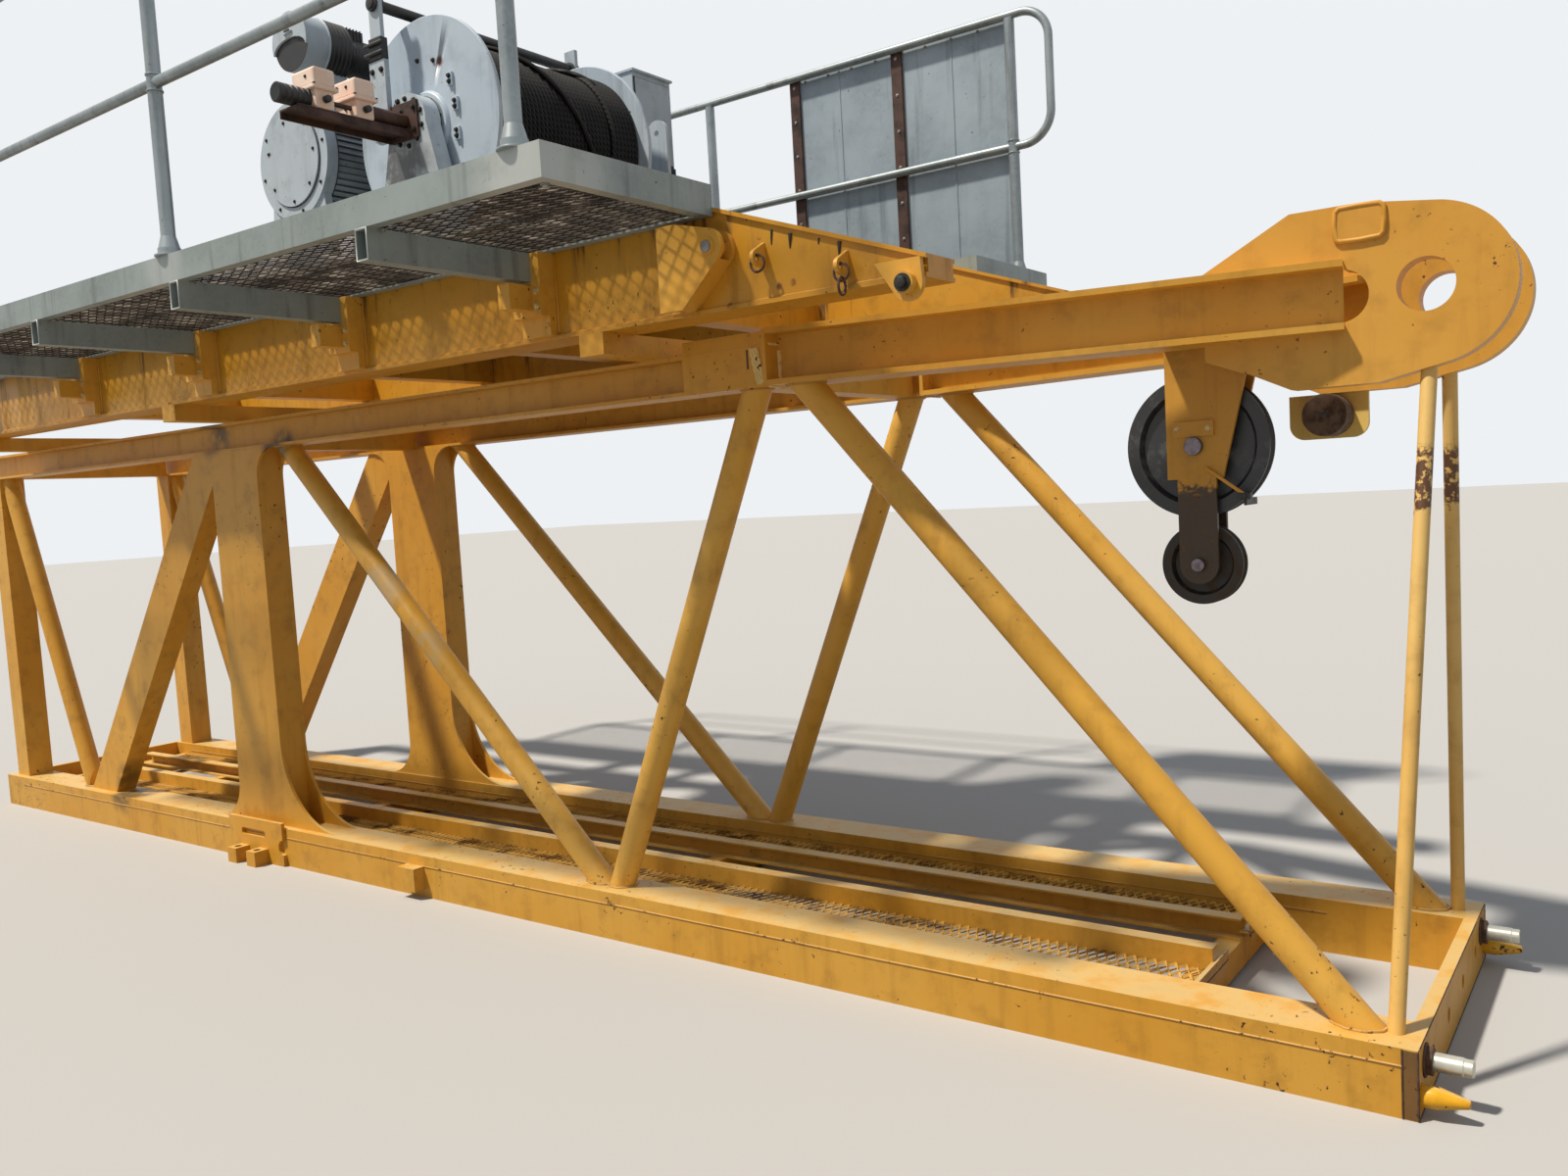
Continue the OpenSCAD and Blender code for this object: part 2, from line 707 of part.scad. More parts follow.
// Plate with a pin boss at the front tip of the near girder.
module tip_plate() {
    boss = [-girder_front_d - 57, girder_z - 14];
    corners = [[-girder_front_d - 170, girder_z + 60], [-girder_front_d - 10, girder_z + 60]];
    rotate([90, 0, 0]) translate([0, 0, girder_y]) {
        linear_extrude(20) {
            translate(boss) circle(52);
            polygon([corners[0], touch(boss, 52, corners[0], 1), boss, touch(boss, 52, corners[1], -1), corners[1]]);
        }
        translate([boss[0], boss[1], 0]) cylinder(r = 34, h = 48);
    }
}

// Socket round the foot of an outrigger, with the stub of its lower bracket.
module socket(d) {
    half = outrigger_w / 2 + socket_t;
    tube_z = plat_z - outrigger_h;
    low = girder_z + girder_flange_t;
    difference() {
        block([-d - half, -web_y - socket_l, low], [-d + half, -web_y, plat_z]);
        block([-d - outrigger_w / 2, -web_y - socket_l - 1, tube_z], [-d + outrigger_w / 2, -web_y + 1, plat_z + 1]);
        block([-d - half - 1, -web_y - socket_l - 1, low - 1], [-d + half + 1, -web_y - socket_l / 2, low + 70]);
    }
    block([-d - outrigger_w / 2, -web_y - socket_l - 110, tube_z - 105],
          [-d + outrigger_w / 2, -web_y - socket_l, tube_z - 15]);
}

// What stands on the girders' outer faces: hooks, lugs, tip plates and sockets.
module girder_lugs() color(deck_yellow)
    pair() {
        girder_hook();
        lifting_lug(1800, girder_z + 155);
        lifting_lug(1480, girder_z + 80);
        tip_plate();
        for (d = outrigger_ds) socket(d);
    }

// Square tubes that carry the platforms, in sockets on the girders.
module outriggers() pair() for (d = outrigger_ds) {
    z = plat_z - outrigger_h;
    color(galvanised) difference() {
        block([-d - outrigger_w / 2, -girder_y - plat_w, z], [-d + outrigger_w / 2, -web_y, plat_z]);
        block([-d - outrigger_w / 2 + outrigger_t, -girder_y - plat_w - 1, z + outrigger_t],
              [-d + outrigger_w / 2 - outrigger_t, -girder_y - 20, plat_z - outrigger_t]);
    }
}

// Platform frame on the near side: channels all round.
module platform() color(galvanised) {
    x0 = -plat_rear_d;
    x1 = -plat_front_d;
    y0 = -girder_y - plat_w;
    y1 = -girder_y;
    difference() {
        block([x0, y0, plat_z], [x1, y1, plat_top]);
        block([x0 + plat_t, y0 + plat_t, plat_z + plat_t], [x1 - plat_t, y1 - plat_t, plat_top - plat_t]);
        block([x0 + plat_flange, y0 + plat_flange, plat_z - 1], [x1 - plat_flange, y1 - plat_flange, plat_top + 1]);
    }
}

// Grating panels that lie on the platforms' lower flanges, open between their bars.
module platform_gratings() color(galvanised) {
    low = [-plat_rear_d + plat_t + 1, -girder_y - plat_w + plat_t + 1];
    high = [-plat_front_d - plat_t - 1, -girder_y - plat_t - 1];
    cells = [12, 3];
    bar = 30;
    cell = [for (i = [0, 1]) (high[i] - low[i] - bar * (cells[i] + 1)) / cells[i]];
    pair() translate([low[0], low[1], plat_z + plat_t]) difference() {
        cube([high[0] - low[0], high[1] - low[1], grating_t]);
        for (i = [0:cells[0] - 1]) for (j = [0:cells[1] - 1])
            translate([bar + i * (cell[0] + bar), bar + j * (cell[1] + bar), -1])
                cube([cell[0], cell[1], grating_t + 2]);
    }
}

// Round posts on the platforms' outer edges.
module rail_posts() color(galvanised)
    pair() for (d = concat(post_ds, [rear_post_d]))
        translate([-d, -rail_y, plat_top]) {
            cylinder(d = rail_post_d, h = rail_h - rail_d / 2);
            cylinder(d = rail_post_d + 30, h = collar_h);
        }

// A bent tube that joins the top rail and the mid rail at the front.
module rail_loop() {
    for (end = [[rail_h, 1], [rail_h / 2, -1]])
        translate([-loop_d - loop_r, -rail_y, plat_top + end[0] - end[1] * loop_r]) rotate([90, 0, 0])
            intersection() {
                rotate_extrude() translate([loop_r, 0]) circle(d = rail_d);
                translate([0, end[1] > 0 ? 0 : -2 * loop_r, -rail_d]) cube([2 * loop_r, 2 * loop_r, 2 * rail_d]);
            }
    translate([-loop_d, -rail_y, plat_top + rail_h / 2 + loop_r])
        cylinder(d = rail_d, h = rail_h / 2 - 2 * loop_r);
}

// A top rail over the posts and a mid rail between them, with a loop at the front.
module handrails() color(galvanised)
    pair() difference() {
        union() {
            for (z = [rail_h / 2, rail_h])
                translate([-rear_post_d - 60, -rail_y, plat_top + z]) rotate([0, 90, 0])
                    cylinder(d = rail_d, h = rear_post_d + 60 - loop_d - loop_r);
            rail_loop();
        }
        for (d = concat(post_ds, [rear_post_d]))
            translate([-d, -rail_y, plat_top]) cylinder(d = rail_post_d, h = rail_h - rail_d / 2);
    }

// Sheet panel behind the far handrail, near its front, hung on the rails by two bars.
module wind_boards() color(galvanised) {
    x1 = -post_ds[0] - 35;
    x0 = x1 - board_l;
    y = rail_y + rail_d / 2 + 0.3;
    low = plat_top + collar_h + 5;
    high = plat_top + rail_h + 9;
    block([x0, y + board_bar_t, low], [x1, y + board_bar_t + board_t, high]);
    for (x = [x0, (x0 + x1) / 2])
        block([x, y, low], [x + board_bar_w, y + board_bar_t, high]);
}

// Skids and base plate of the winch.
module winch_base() color(galvanised) {
    x0 = -winch_front_d - winch_l;
    for (y = [-1, 1])
        translate([x0, y * skid_y, cross_top + skid_h / 2]) i_beam(winch_l, skid_h, skid_w, 16, 12);
    block([x0, -girder_y + 60, cross_top + skid_h], [-winch_front_d, girder_y - 60, base_top]);
}

// A bearing pedestal standing on the base plate, from its outer face at Y 0 inwards.
module pedestal() rotate([90, 0, 0]) mirror([0, 0, 1]) difference() {
    union() {
        linear_extrude(pedestal_t) {
            polygon([[-260, base_top], [260, base_top], [housing_r - 5, drum_z], [5 - housing_r, drum_z]]);
            translate([0, drum_z]) circle(housing_r);
        }
        for (x = [-150, 130]) translate([x, base_top, -20]) cube([20, 250, 21]);
    }
    translate([0, drum_z, -1]) cylinder(r = shaft_r + running_gap, h = pedestal_t + 2, $fn = 96);
}

// Both pedestals, the far bearing's cover, and a round-topped bracket beside the far flange.
module winch_pedestals() color(winch_grey) {
    bracket_r = 62;
    bracket = [-drum_d + 340, drum_z + 120];
    translate([-drum_d, -drum_near_y - pedestal_out, 0]) pedestal();
    translate([-drum_d, drum_far_y + pedestal_out, 0]) {
        mirror([0, 1, 0]) pedestal();
        translate([0, cover_t, drum_z]) rotate([90, 0, 0]) cylinder(r = shaft_r + 20, h = cover_t);
    }
    translate([bracket[0], drum_far_y + pedestal_out + 90, 0]) rotate([90, 0, 0]) linear_extrude(20)
        difference() {
            union() {
                translate([0, bracket[1]]) circle(bracket_r);
                translate([-bracket_r, base_top]) square([2 * bracket_r, bracket[1] - base_top]);
            }
            translate([0, bracket[1]]) circle(14);
        }
}

// Drum with its flanges, hubs, wound rope and shaft.
module hoist_drum() color(rubber_black)
    translate([-drum_d, drum_far_y, drum_z]) rotate([90, 0, 0]) {
        shaft_l = drum_l + 2 * (pedestal_out - 5);
        cylinder(r = wound_r, h = drum_l, $fn = 96);
        for (z = [0, drum_l - flange_t]) translate([0, 0, z]) cylinder(r = flange_r, h = flange_t, $fn = 96);
        translate([0, 0, -15]) cylinder(r = 150, h = drum_l + 30, $fn = 96);
        translate([0, 0, (drum_l - shaft_l) / 2]) cylinder(r = shaft_r, h = shaft_l, $fn = 96);
    }

// Bar over the drum that keeps the rope down, on two uprights.
module rope_guard() color(winch_grey) {
    x = -drum_d - guard_back;
    near = -drum_near_y - pedestal_out;
    far = drum_far_y + pedestal_out;
    for (y = [near - guard_t, far])
        block([x - guard_w / 2, y, drum_z - 60], [x + guard_w / 2, y + guard_t, drum_z + guard_up + 90]);
    translate([x, far + guard_t + 20, drum_z + guard_up]) rotate([90, 0, 0])
        cylinder(r = 22, h = far - near + 2 * guard_t + 40);
}

// Motor on two saddles, with its blower and the blower's own small motor.
module hoist_motor() color(winch_grey) {
    shield = 60;
    y1 = motor_l - motor_near_y;
    cowl = [-motor_d + 138, motor_z + 495];
    translate([-motor_d, y1, motor_z]) rotate([90, 0, 0]) {
        cylinder(r = motor_r - 14, h = motor_l, $fn = 96);
        for (z = [0, motor_l - shield]) translate([0, 0, z]) cylinder(r = motor_r, h = shield, $fn = 96);
        cylinder(r = motor_r - 60, h = motor_l + 10, $fn = 96);
    }
    for (y = [y1 - 10, y1 - motor_l + 50])
        translate([-motor_d, y, 0]) rotate([90, 0, 0]) linear_extrude(40) difference() {
            polygon([[-250, base_top], [250, base_top], [190, motor_z - 60], [-190, motor_z - 60]]);
            translate([0, motor_z]) circle(motor_r - 5);
        }
    block([cowl[0] - 60, -motor_near_y + 90, motor_z + 200], [cowl[0] + 60, -motor_near_y + 190, cowl[1]]);
    translate([cowl[0], 0, cowl[1]]) rotate([90, 0, 0]) {
        translate([0, 0, 560]) cylinder(r = cowl_r, h = 230);
        translate([0, 0, 390]) cylinder(r = 85, h = 180);
    }
    block([cowl[0] - 30, -530, cowl[1] + 60], [cowl[0] + 50, -440, cowl[1] + 115]);
}

// Gearbox between the motor's shaft and the drum's, with a brake on the motor's shaft.
module hoist_gearbox() color(winch_grey) {
    x = [-motor_d - 240, -drum_d + 140];
    motor_y = motor_l - motor_near_y;
    translate([0, gear_y + gear_w, 0]) rotate([90, 0, 0]) linear_extrude(gear_w) {
        translate([-motor_d, motor_z]) circle(240);
        translate([-drum_d, drum_z]) circle(190);
        polygon([
            [x[0], base_top], [x[0], motor_z], [-motor_d, motor_z], [-motor_d, motor_z + 240],
            [-drum_d, drum_z + 190], [-drum_d, drum_z], [x[1], drum_z - 60], [x[1], base_top]
        ]);
    }
    block([x[0] - 30, gear_y + 20, drum_z - 20], [x[1] + 60, gear_y + gear_w + 10, drum_z + 20]);
    translate([-motor_d, gear_y + 1, motor_z]) rotate([90, 0, 0]) {
        cylinder(r = 55, h = gear_y + 1 - motor_y);
        translate([0, 0, 220]) cylinder(r = 190, h = 140);
    }
    block([-motor_d - 70, gear_y - 330, base_top], [-motor_d + 70, gear_y - 250, motor_z]);
}

// Two switch boxes and an encoder on a bracket that reaches out from the near pedestal.
module junction_boxes() {
    x = -drum_d - 30;
    face = -drum_near_y - pedestal_out;
    floor_z = drum_z - 40;
    block([x - 70, face - 535, floor_z - 35], [x + 65, face - cover_t, floor_z]);
    block([x - 65, face - cover_t, floor_z - 35], [x + 110, face, drum_z + 80]);
    translate([-drum_d, face - cover_t + 1, drum_z]) rotate([90, 0, 0]) cylinder(r = 30, h = 180);
    for (y = [face - 185, face - 370]) {
        block([x - box_l / 2 + 6, y - box_w + 6, floor_z - 1], [x + box_l / 2 - 6, y - 6, floor_z + box_h]);
        block([x - box_l / 2, y - box_w, floor_z + box_h / 2], [x + box_l / 2, y, floor_z + box_h - 2]);
        block([x - box_l / 2 - 8, y - box_w - 8, floor_z + box_h / 2 - 8],
              [x + box_l / 2 + 8, y + 8, floor_z + box_h / 2 + 8]);
    }
    translate([x + 10, face - 460, drum_z]) rotate([90, 0, 0]) cylinder(r = 39, h = 140);
}

// Cabinet with a raised door towards the front and a rain roof.
module control_cabinet() color(winch_grey) {
    y = 600;
    block([-cabinet_d - cabinet_l, y, base_top], [-cabinet_d, y + cabinet_w, base_top + cabinet_h]);
    block([-cabinet_d - 1, y + 14, base_top + 60], [-cabinet_d + 8, y + cabinet_w - 14, base_top + cabinet_h - 30]);
    block([-cabinet_d - cabinet_l - 8, y - 8, base_top + cabinet_h - 1],
          [-cabinet_d + 14, y + cabinet_w + 8, base_top + cabinet_h + 10]);
}

place() bottom_chord();  // near_bottom_chord
place() mirror([0, 1, 0]) bottom_chord();  // far_bottom_chord
place() top_chord();  // near_top_chord
place() mirror([0, 1, 0]) top_chord();  // far_top_chord
place() pair() front_brace();  // front_braces
place() pair() mid_brace();  // mid_braces
place() pair() rear_brace();  // rear_braces
place() pair() box_brace();  // box_braces
place() pair() post();  // plate_posts
place() pair() heel_post();  // heel_posts
place() pair() heel_brace();  // heel_braces
place() pair() arm();  // front_arms
place() eye_plate();  // near_eye_plate
place() mirror([0, 1, 0]) eye_plate();  // far_eye_plate
place() pair() hanger_rod();  // hanger_rods
place() top_ties();
place() front_end_plate();
place() rear_end_plate();
place() guide_pins();
place() side_brackets();
place() floor_bearers();
place() walkway_bars();
place() walkway_gratings();
place() sheave_hanger();
place() rope_sheave();
place() tail_sheave();
place() stored_pin();
place() packing_beams();
place() pair() girder();  // deck_girders
place() deck_cross_beams();
place() girder_lugs();
place() outriggers();
place() pair() platform();  // platform_frames
place() platform_gratings();
place() rail_posts();
place() handrails();
place() wind_boards();
place() winch_base();
place() winch_pedestals();
place() hoist_drum();
place() rope_guard();
place() hoist_motor();
place() hoist_gearbox();
place() junction_boxes();
place() control_cabinet();
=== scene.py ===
"""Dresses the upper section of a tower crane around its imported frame."""
import math

import bmesh
import bpy
from mathutils import Matrix, Vector


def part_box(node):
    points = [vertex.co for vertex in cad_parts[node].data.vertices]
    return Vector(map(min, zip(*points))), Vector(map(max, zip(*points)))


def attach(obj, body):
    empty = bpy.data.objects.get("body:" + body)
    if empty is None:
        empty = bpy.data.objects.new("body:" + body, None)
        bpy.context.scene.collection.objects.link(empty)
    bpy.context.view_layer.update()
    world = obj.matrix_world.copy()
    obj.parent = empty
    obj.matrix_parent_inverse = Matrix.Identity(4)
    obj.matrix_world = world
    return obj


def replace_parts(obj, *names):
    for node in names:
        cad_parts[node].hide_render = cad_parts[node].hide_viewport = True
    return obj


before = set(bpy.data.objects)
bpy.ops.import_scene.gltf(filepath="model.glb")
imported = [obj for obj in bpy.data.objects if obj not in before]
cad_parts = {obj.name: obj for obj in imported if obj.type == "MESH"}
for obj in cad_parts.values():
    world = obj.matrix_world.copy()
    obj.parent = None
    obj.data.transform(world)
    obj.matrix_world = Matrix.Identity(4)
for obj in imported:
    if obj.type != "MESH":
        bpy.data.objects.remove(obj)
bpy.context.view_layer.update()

# Places are distances back from the front end of the bottom chords, in metres
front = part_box("near_bottom_chord")[1].x
chord_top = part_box("near_bottom_chord")[1].z
top_chord_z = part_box("near_top_chord")[0].z
side_y = abs(sum(corner.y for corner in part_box("near_top_chord"))) / 2
outrigger_places = (2.850, 4.020, 5.190, 6.360)
post_places = (2.135, 4.085, 6.035, 7.600)
OUT, IN, UP = Vector((0, -1, 0)), Vector((0, 1, 0)), Vector((0, 0, 1))


def back(distance):
    """The X that lies this far behind the front end of the bottom chords."""
    return front - distance


def off(axis, x, y, z):
    """A point beside an axis that runs along Y."""
    return Vector((axis.x + x, y, axis.z + z))


# The hoist's axes run along Y, so their Y says nothing
drum_low, drum_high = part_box("hoist_drum")
drum_axis = Vector(((drum_low.x + drum_high.x) / 2, 0, (drum_low.z + drum_high.z) / 2))
motor_axis = Vector((back(4.670), 0, 3.495))
cowl_axis = Vector((back(4.532), 0, 3.990))
base_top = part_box("winch_base")[1].z
# Middles of the drum's flanges, and outer faces of its bearing pedestals
near_flange, far_flange = -0.690, 0.240
near_face, far_face = -0.795, 0.345
rope_hole = off(drum_axis, 0.109, near_flange, 0.251)

# Camera, floor and light


def photographed_from():
    """Puts the camera where the photograph was taken, at a standing person's eye."""
    turn, tilt, lean = 0.63181, -0.07461, -0.05644
    focal_px, picture_px, sensor_mm = 1268.17, 1600, 36
    ahead = Vector((-math.sin(turn) * math.cos(tilt), math.cos(turn) * math.cos(tilt), math.sin(tilt)))
    level = Vector((math.cos(turn), math.sin(turn), 0))
    upright = level.cross(ahead)
    right = math.cos(lean) * level + math.sin(lean) * upright
    up = math.cos(lean) * upright - math.sin(lean) * level
    bpy.ops.object.camera_add()
    camera = bpy.context.object
    camera.matrix_world = Matrix.Translation((front + 0.63755, -4.27943, 1.79982)) @ Matrix(
        (right, up, -ahead)).transposed().to_4x4()
    camera.data.sensor_width = sensor_mm
    camera.data.lens = sensor_mm * focal_px / picture_px
    camera.data.clip_end = 400
    bpy.context.scene.camera = camera


def linear(colour):
    """An sRGB hex colour as linear red, green, blue and alpha."""
    parts = [int(colour[i:i + 2], 16) / 255 for i in (1, 3, 5)]
    return [c / 12.92 if c <= 0.04045 else ((c + 0.055) / 1.055) ** 2.4 for c in parts] + [1]


def feed(tree, made, inputs):
    """Links or fills a node's inputs. A node given as a value stands for its first output."""
    for key, value in inputs.items():
        if isinstance(value, bpy.types.Node):
            value = value.outputs[0]
        if isinstance(value, bpy.types.NodeSocket):
            tree.links.new(value, made.inputs[key])
        else:
            made.inputs[key].default_value = value


def add(tree, kind, inputs=None, **settings):
    """Adds a node, sets it and links or fills its inputs."""
    made = tree.nodes.new("ShaderNode" + kind)
    for key, value in settings.items():
        setattr(made, key, value)
    feed(tree, made, inputs or {})
    return made


def looked_at(tree):
    """1 where the camera or a shiny piece looks, 0 for the light that falls on the object."""
    path = add(tree, "LightPath")
    return add(tree, "Math", {0: path.outputs["Is Camera Ray"], 1: path.outputs["Is Glossy Ray"]},
               operation="MAXIMUM")


def layered(tree, ground, layers):
    """A ground colour with paints laid over it in turn, each as far as its mask says."""
    colour = linear(ground)
    for paint, mask in layers:
        colour = add(tree, "Mix", {0: mask, 6: colour, 7: linear(paint)}, data_type="RGBA").outputs[2]
    return colour


def studio():
    """A pale floor and backdrop, a soft key from the right and a wide fill."""
    bpy.ops.mesh.primitive_plane_add(size=160, location=(0, 0, 0))
    floor = bpy.context.object
    floor.name = "floor"
    pale = bpy.data.materials.new("pale_floor")
    pale.use_nodes = True
    tree = pale.node_tree
    # Pale to the eye, and no brighter than worn ground in the light that it sends back up
    colour = layered(tree, "#8b877e", [("#babcbf", looked_at(tree))])
    feed(tree, tree.nodes["Principled BSDF"], {"Base Color": colour, "Roughness": 0.9})
    floor.data.materials.append(pale)
    world = bpy.data.worlds.new("soft_sky")
    world.use_nodes = True
    bpy.context.scene.world = world
    tree = world.node_tree
    tree.nodes.clear()
    light = add(tree, "Background", {"Color": linear("#e9eef3"), "Strength": 0.33})
    seen = add(tree, "Background", {"Color": linear("#eef1f4"), "Strength": 1.0})
    mixed = add(tree, "MixShader", {0: looked_at(tree), 1: light, 2: seen})
    add(tree, "OutputWorld", {"Surface": mixed})
    bpy.ops.object.light_add(type="SUN")
    sun = bpy.context.object
    sun.data.energy = 4.15
    sun.data.angle = 0.06
    sun.data.color = linear("#fff3e0")[:3]
    sun.rotation_euler = Vector((0.5, 0.62, -1.35)).to_track_quat("-Z", "Y").to_euler()
    bpy.context.scene.view_settings.view_transform = "Standard"


# Finishes


def finish_named(name):
    """A new material with its tree, its surface and its object coordinates."""
    material = bpy.data.materials.new(name)
    material.use_nodes = True
    tree = material.node_tree
    return material, tree, tree.nodes["Principled BSDF"], add(tree, "TexCoord").outputs["Object"]


def masked(tree, value, low, high, top=1.0, within=None):
    """A soft step from 0 to top as a value goes from low to high, inside another mask where one is given."""
    step = add(tree, "MapRange", {"Value": value, 1: low, 2: high, 3: 0.0, 4: top},
               interpolation_type="SMOOTHSTEP")
    return step if within is None else add(tree, "Math", {0: step, 1: within}, operation="MULTIPLY")


def spot_layers(tree, place, spots, patch, low, high):
    """A layer for each spot: its paint shows in patches near a point and fades out at its radius."""
    layers = []
    for centre, radius, paint, amount in spots:
        away = add(tree, "VectorMath", {0: place, 1: centre}, operation="DISTANCE").outputs["Value"]
        layers.append((paint, masked(tree, patch, low, high, amount, masked(tree, away, radius, radius * 0.45))))
    return layers


def surfaced(tree, surface, colour, wear, fresh_rough, worn_rough, height, relief, depth=0.002):
    """Gives a surface its colour, its roughness as it wears, and the relief of a height."""
    rough = add(tree, "MapRange", {"Value": wear, 3: fresh_rough, 4: worn_rough})
    bump = add(tree, "Bump", {"Strength": relief, "Distance": depth, "Height": height})
    feed(tree, surface, {"Base Color": colour, "Roughness": rough, "Normal": bump})


def enamel(name, fresh, faded, grime, dust="#d9c68c", chips=0.68, streaks=0.28, rough=0.5, bands=(),
           drips=None, spots=()):
    """Alkyd enamel sprayed on steel plate: matt from the sun, with rain streaks, dust and rusting chips.

    Bands of another colour lie between two levels, drips run down from one level, and spots lie round points.
    """
    material, tree, surface, place = finish_named(name)
    metre_patch = add(tree, "TexNoise", {"Vector": place, "Scale": 1.1, "Detail": 3.0})
    hand_patch = add(tree, "TexNoise", {"Vector": place, "Scale": 9.0, "Detail": 6.0, "Roughness": 0.6})
    # Rain streaks run down upright faces, 10 to 60 mm wide and most of a metre long
    tall = add(tree, "Mapping", {"Vector": place, "Scale": (11.0, 11.0, 0.9)})
    streak = add(tree, "TexNoise", {"Vector": tall, "Scale": 1.0, "Detail": 6.0, "Roughness": 0.66})
    normal = add(tree, "SeparateXYZ", {0: add(tree, "NewGeometry").outputs["Normal"]})
    wall = masked(tree, add(tree, "Math", {0: normal.outputs["Z"]}, operation="ABSOLUTE"), 0.8, 0.4)
    run = masked(tree, streak, 0.50, 0.74, streaks, wall)
    layers = [(faded, masked(tree, metre_patch, 0.38, 0.64)),
              (grime, masked(tree, hand_patch, 0.46, 0.80, 0.42)), (grime, run)]
    level = add(tree, "SeparateXYZ", {0: place}).outputs["Z"]
    if drips:
        top, length, paint = drips
        reach = add(tree, "MapRange", {"Value": level, 1: top - length, 2: top, 3: 0.0, 4: 0.20})
        drip = add(tree, "Math", {0: streak, 1: reach}, operation="ADD")
        layers.append((paint, masked(tree, drip, 0.72, 0.80, 0.85, wall)))
    # Dust settles on what faces up
    flat = masked(tree, normal.outputs["Z"], 0.75, 0.98)
    layers.append((dust, masked(tree, hand_patch, 0.28, 0.58, 0.55, flat)))
    # Chips are 5 to 20 mm wide, and come in crowds
    chip_grain = add(tree, "TexNoise", {"Vector": place, "Scale": 42.0, "Detail": 5.0, "Roughness": 0.62})
    ragged = add(tree, "Math", {0: chip_grain, 1: 0.16, 2: level}, operation="MULTIPLY_ADD")
    for low, high, paint, amount in bands:
        band = masked(tree, ragged, low + 0.06, low + 0.09, amount, masked(tree, ragged, high + 0.10, high + 0.07))
        if high - low < 0.3:
            band = masked(tree, chip_grain, 0.42, 0.50, 1.0, band)
        layers.append((paint, band))
    layers += spot_layers(tree, place, spots, hand_patch, 0.30, 0.52)
    crowd_patch = add(tree, "TexNoise", {"Vector": place, "Scale": 2.3, "Detail": 2.0})
    chip_level = add(tree, "Math", {0: chip_grain, 1: masked(tree, crowd_patch, 0.40, 0.66, 0.08)}, operation="ADD")
    halo = masked(tree, chip_level, chips, chips + 0.07, 0.75)
    chipped = masked(tree, chip_level, chips + 0.05, chips + 0.065)
    layers += [("#8a5a22", halo), ("#3f281a", chipped)]
    worn = add(tree, "Math", {0: run, 1: halo}, operation="MAXIMUM")
    # Orange peel of the sprayed coat, about 4 mm a dimple
    peel = add(tree, "TexNoise", {"Vector": place, "Scale": 230.0, "Detail": 1.0})
    shallow = add(tree, "Math", {0: peel, 1: 0.25}, operation="MULTIPLY")
    height = add(tree, "Math", {0: shallow, 1: chipped}, operation="SUBTRACT")
    surfaced(tree, surface, layered(tree, fresh, layers), worn, rough, 0.85, height, 0.35)
    return material


def zinc(name, light, dark, stain, rough=0.5, metal=0.55, spangle_mm=14, spots=()):
    """Hot-dip galvanised steel: grey crystals, dull from weather, with chalky runs and pale patches."""
    material, tree, surface, place = finish_named(name)
    crystal = add(tree, "TexVoronoi", {"Vector": place, "Scale": 1000 / spangle_mm})
    tone = add(tree, "SeparateColor", {0: crystal.outputs["Color"]})
    cloud = add(tree, "TexNoise", {"Vector": place, "Scale": 3.0, "Detail": 5.0, "Roughness": 0.6})
    # Chalky runs, some 50 mm wide and half a metre long, and flecks of rust 10 to 20 mm wide
    tall = add(tree, "Mapping", {"Vector": place, "Scale": (20.0, 20.0, 1.6)})
    streak = add(tree, "TexNoise", {"Vector": tall, "Scale": 1.0, "Detail": 4.0})
    fleck = add(tree, "TexNoise", {"Vector": place, "Scale": 55.0, "Detail": 3.0})
    layers = [(light, masked(tree, cloud, 0.3, 0.7)),
              (light, add(tree, "Math", {0: tone, 1: 0.35}, operation="MULTIPLY")),
              (stain, masked(tree, streak, 0.52, 0.76, 0.55))]
    layers += spot_layers(tree, place, spots, cloud, 0.36, 0.58)
    layers.append(("#5b4630", masked(tree, fleck, 0.69, 0.74, 0.7)))
    surface.inputs["Metallic"].default_value = metal
    surfaced(tree, surface, layered(tree, dark, layers), cloud, rough + 0.14, rough - 0.12, cloud, 0.15, 0.001)
    return material


def wire_rope(name, centre, radius, strand_mm=26, rope_mm=24):
    """Six-strand wire rope under old grease: black, wet on its crowns, with its strands' lay round the drum."""
    material, tree, surface, place = finish_named(name)
    about = add(tree, "Mapping", {"Vector": place, "Location": (-centre.x, 0, -centre.z)})
    at = add(tree, "SeparateXYZ", {0: about})
    angle = add(tree, "Math", {0: at.outputs["Z"], 1: at.outputs["X"]}, operation="ARCTAN2")
    strands = round(2 * math.pi * radius * 1000 / strand_mm)
    across = add(tree, "Math", {0: at.outputs["Y"], 1: 12 * 1000 / rope_mm}, operation="MULTIPLY")
    lay = add(tree, "Math", {0: angle, 1: float(strands), 2: across}, operation="MULTIPLY_ADD")
    crown = add(tree, "Math", {0: lay}, operation="SINE")
    cake = add(tree, "TexNoise", {"Vector": place, "Scale": 7.0, "Detail": 5.0})
    bare = masked(tree, crown, 0.2, 0.95, 1.0, masked(tree, cake, 0.45, 0.62, 0.8))
    surface.inputs["Specular IOR Level"].default_value = 0.22
    surfaced(tree, surface, layered(tree, "#050505", [("#1f1d1b", bare)]), cake, 0.75, 0.45, crown, 0.5)
    return material


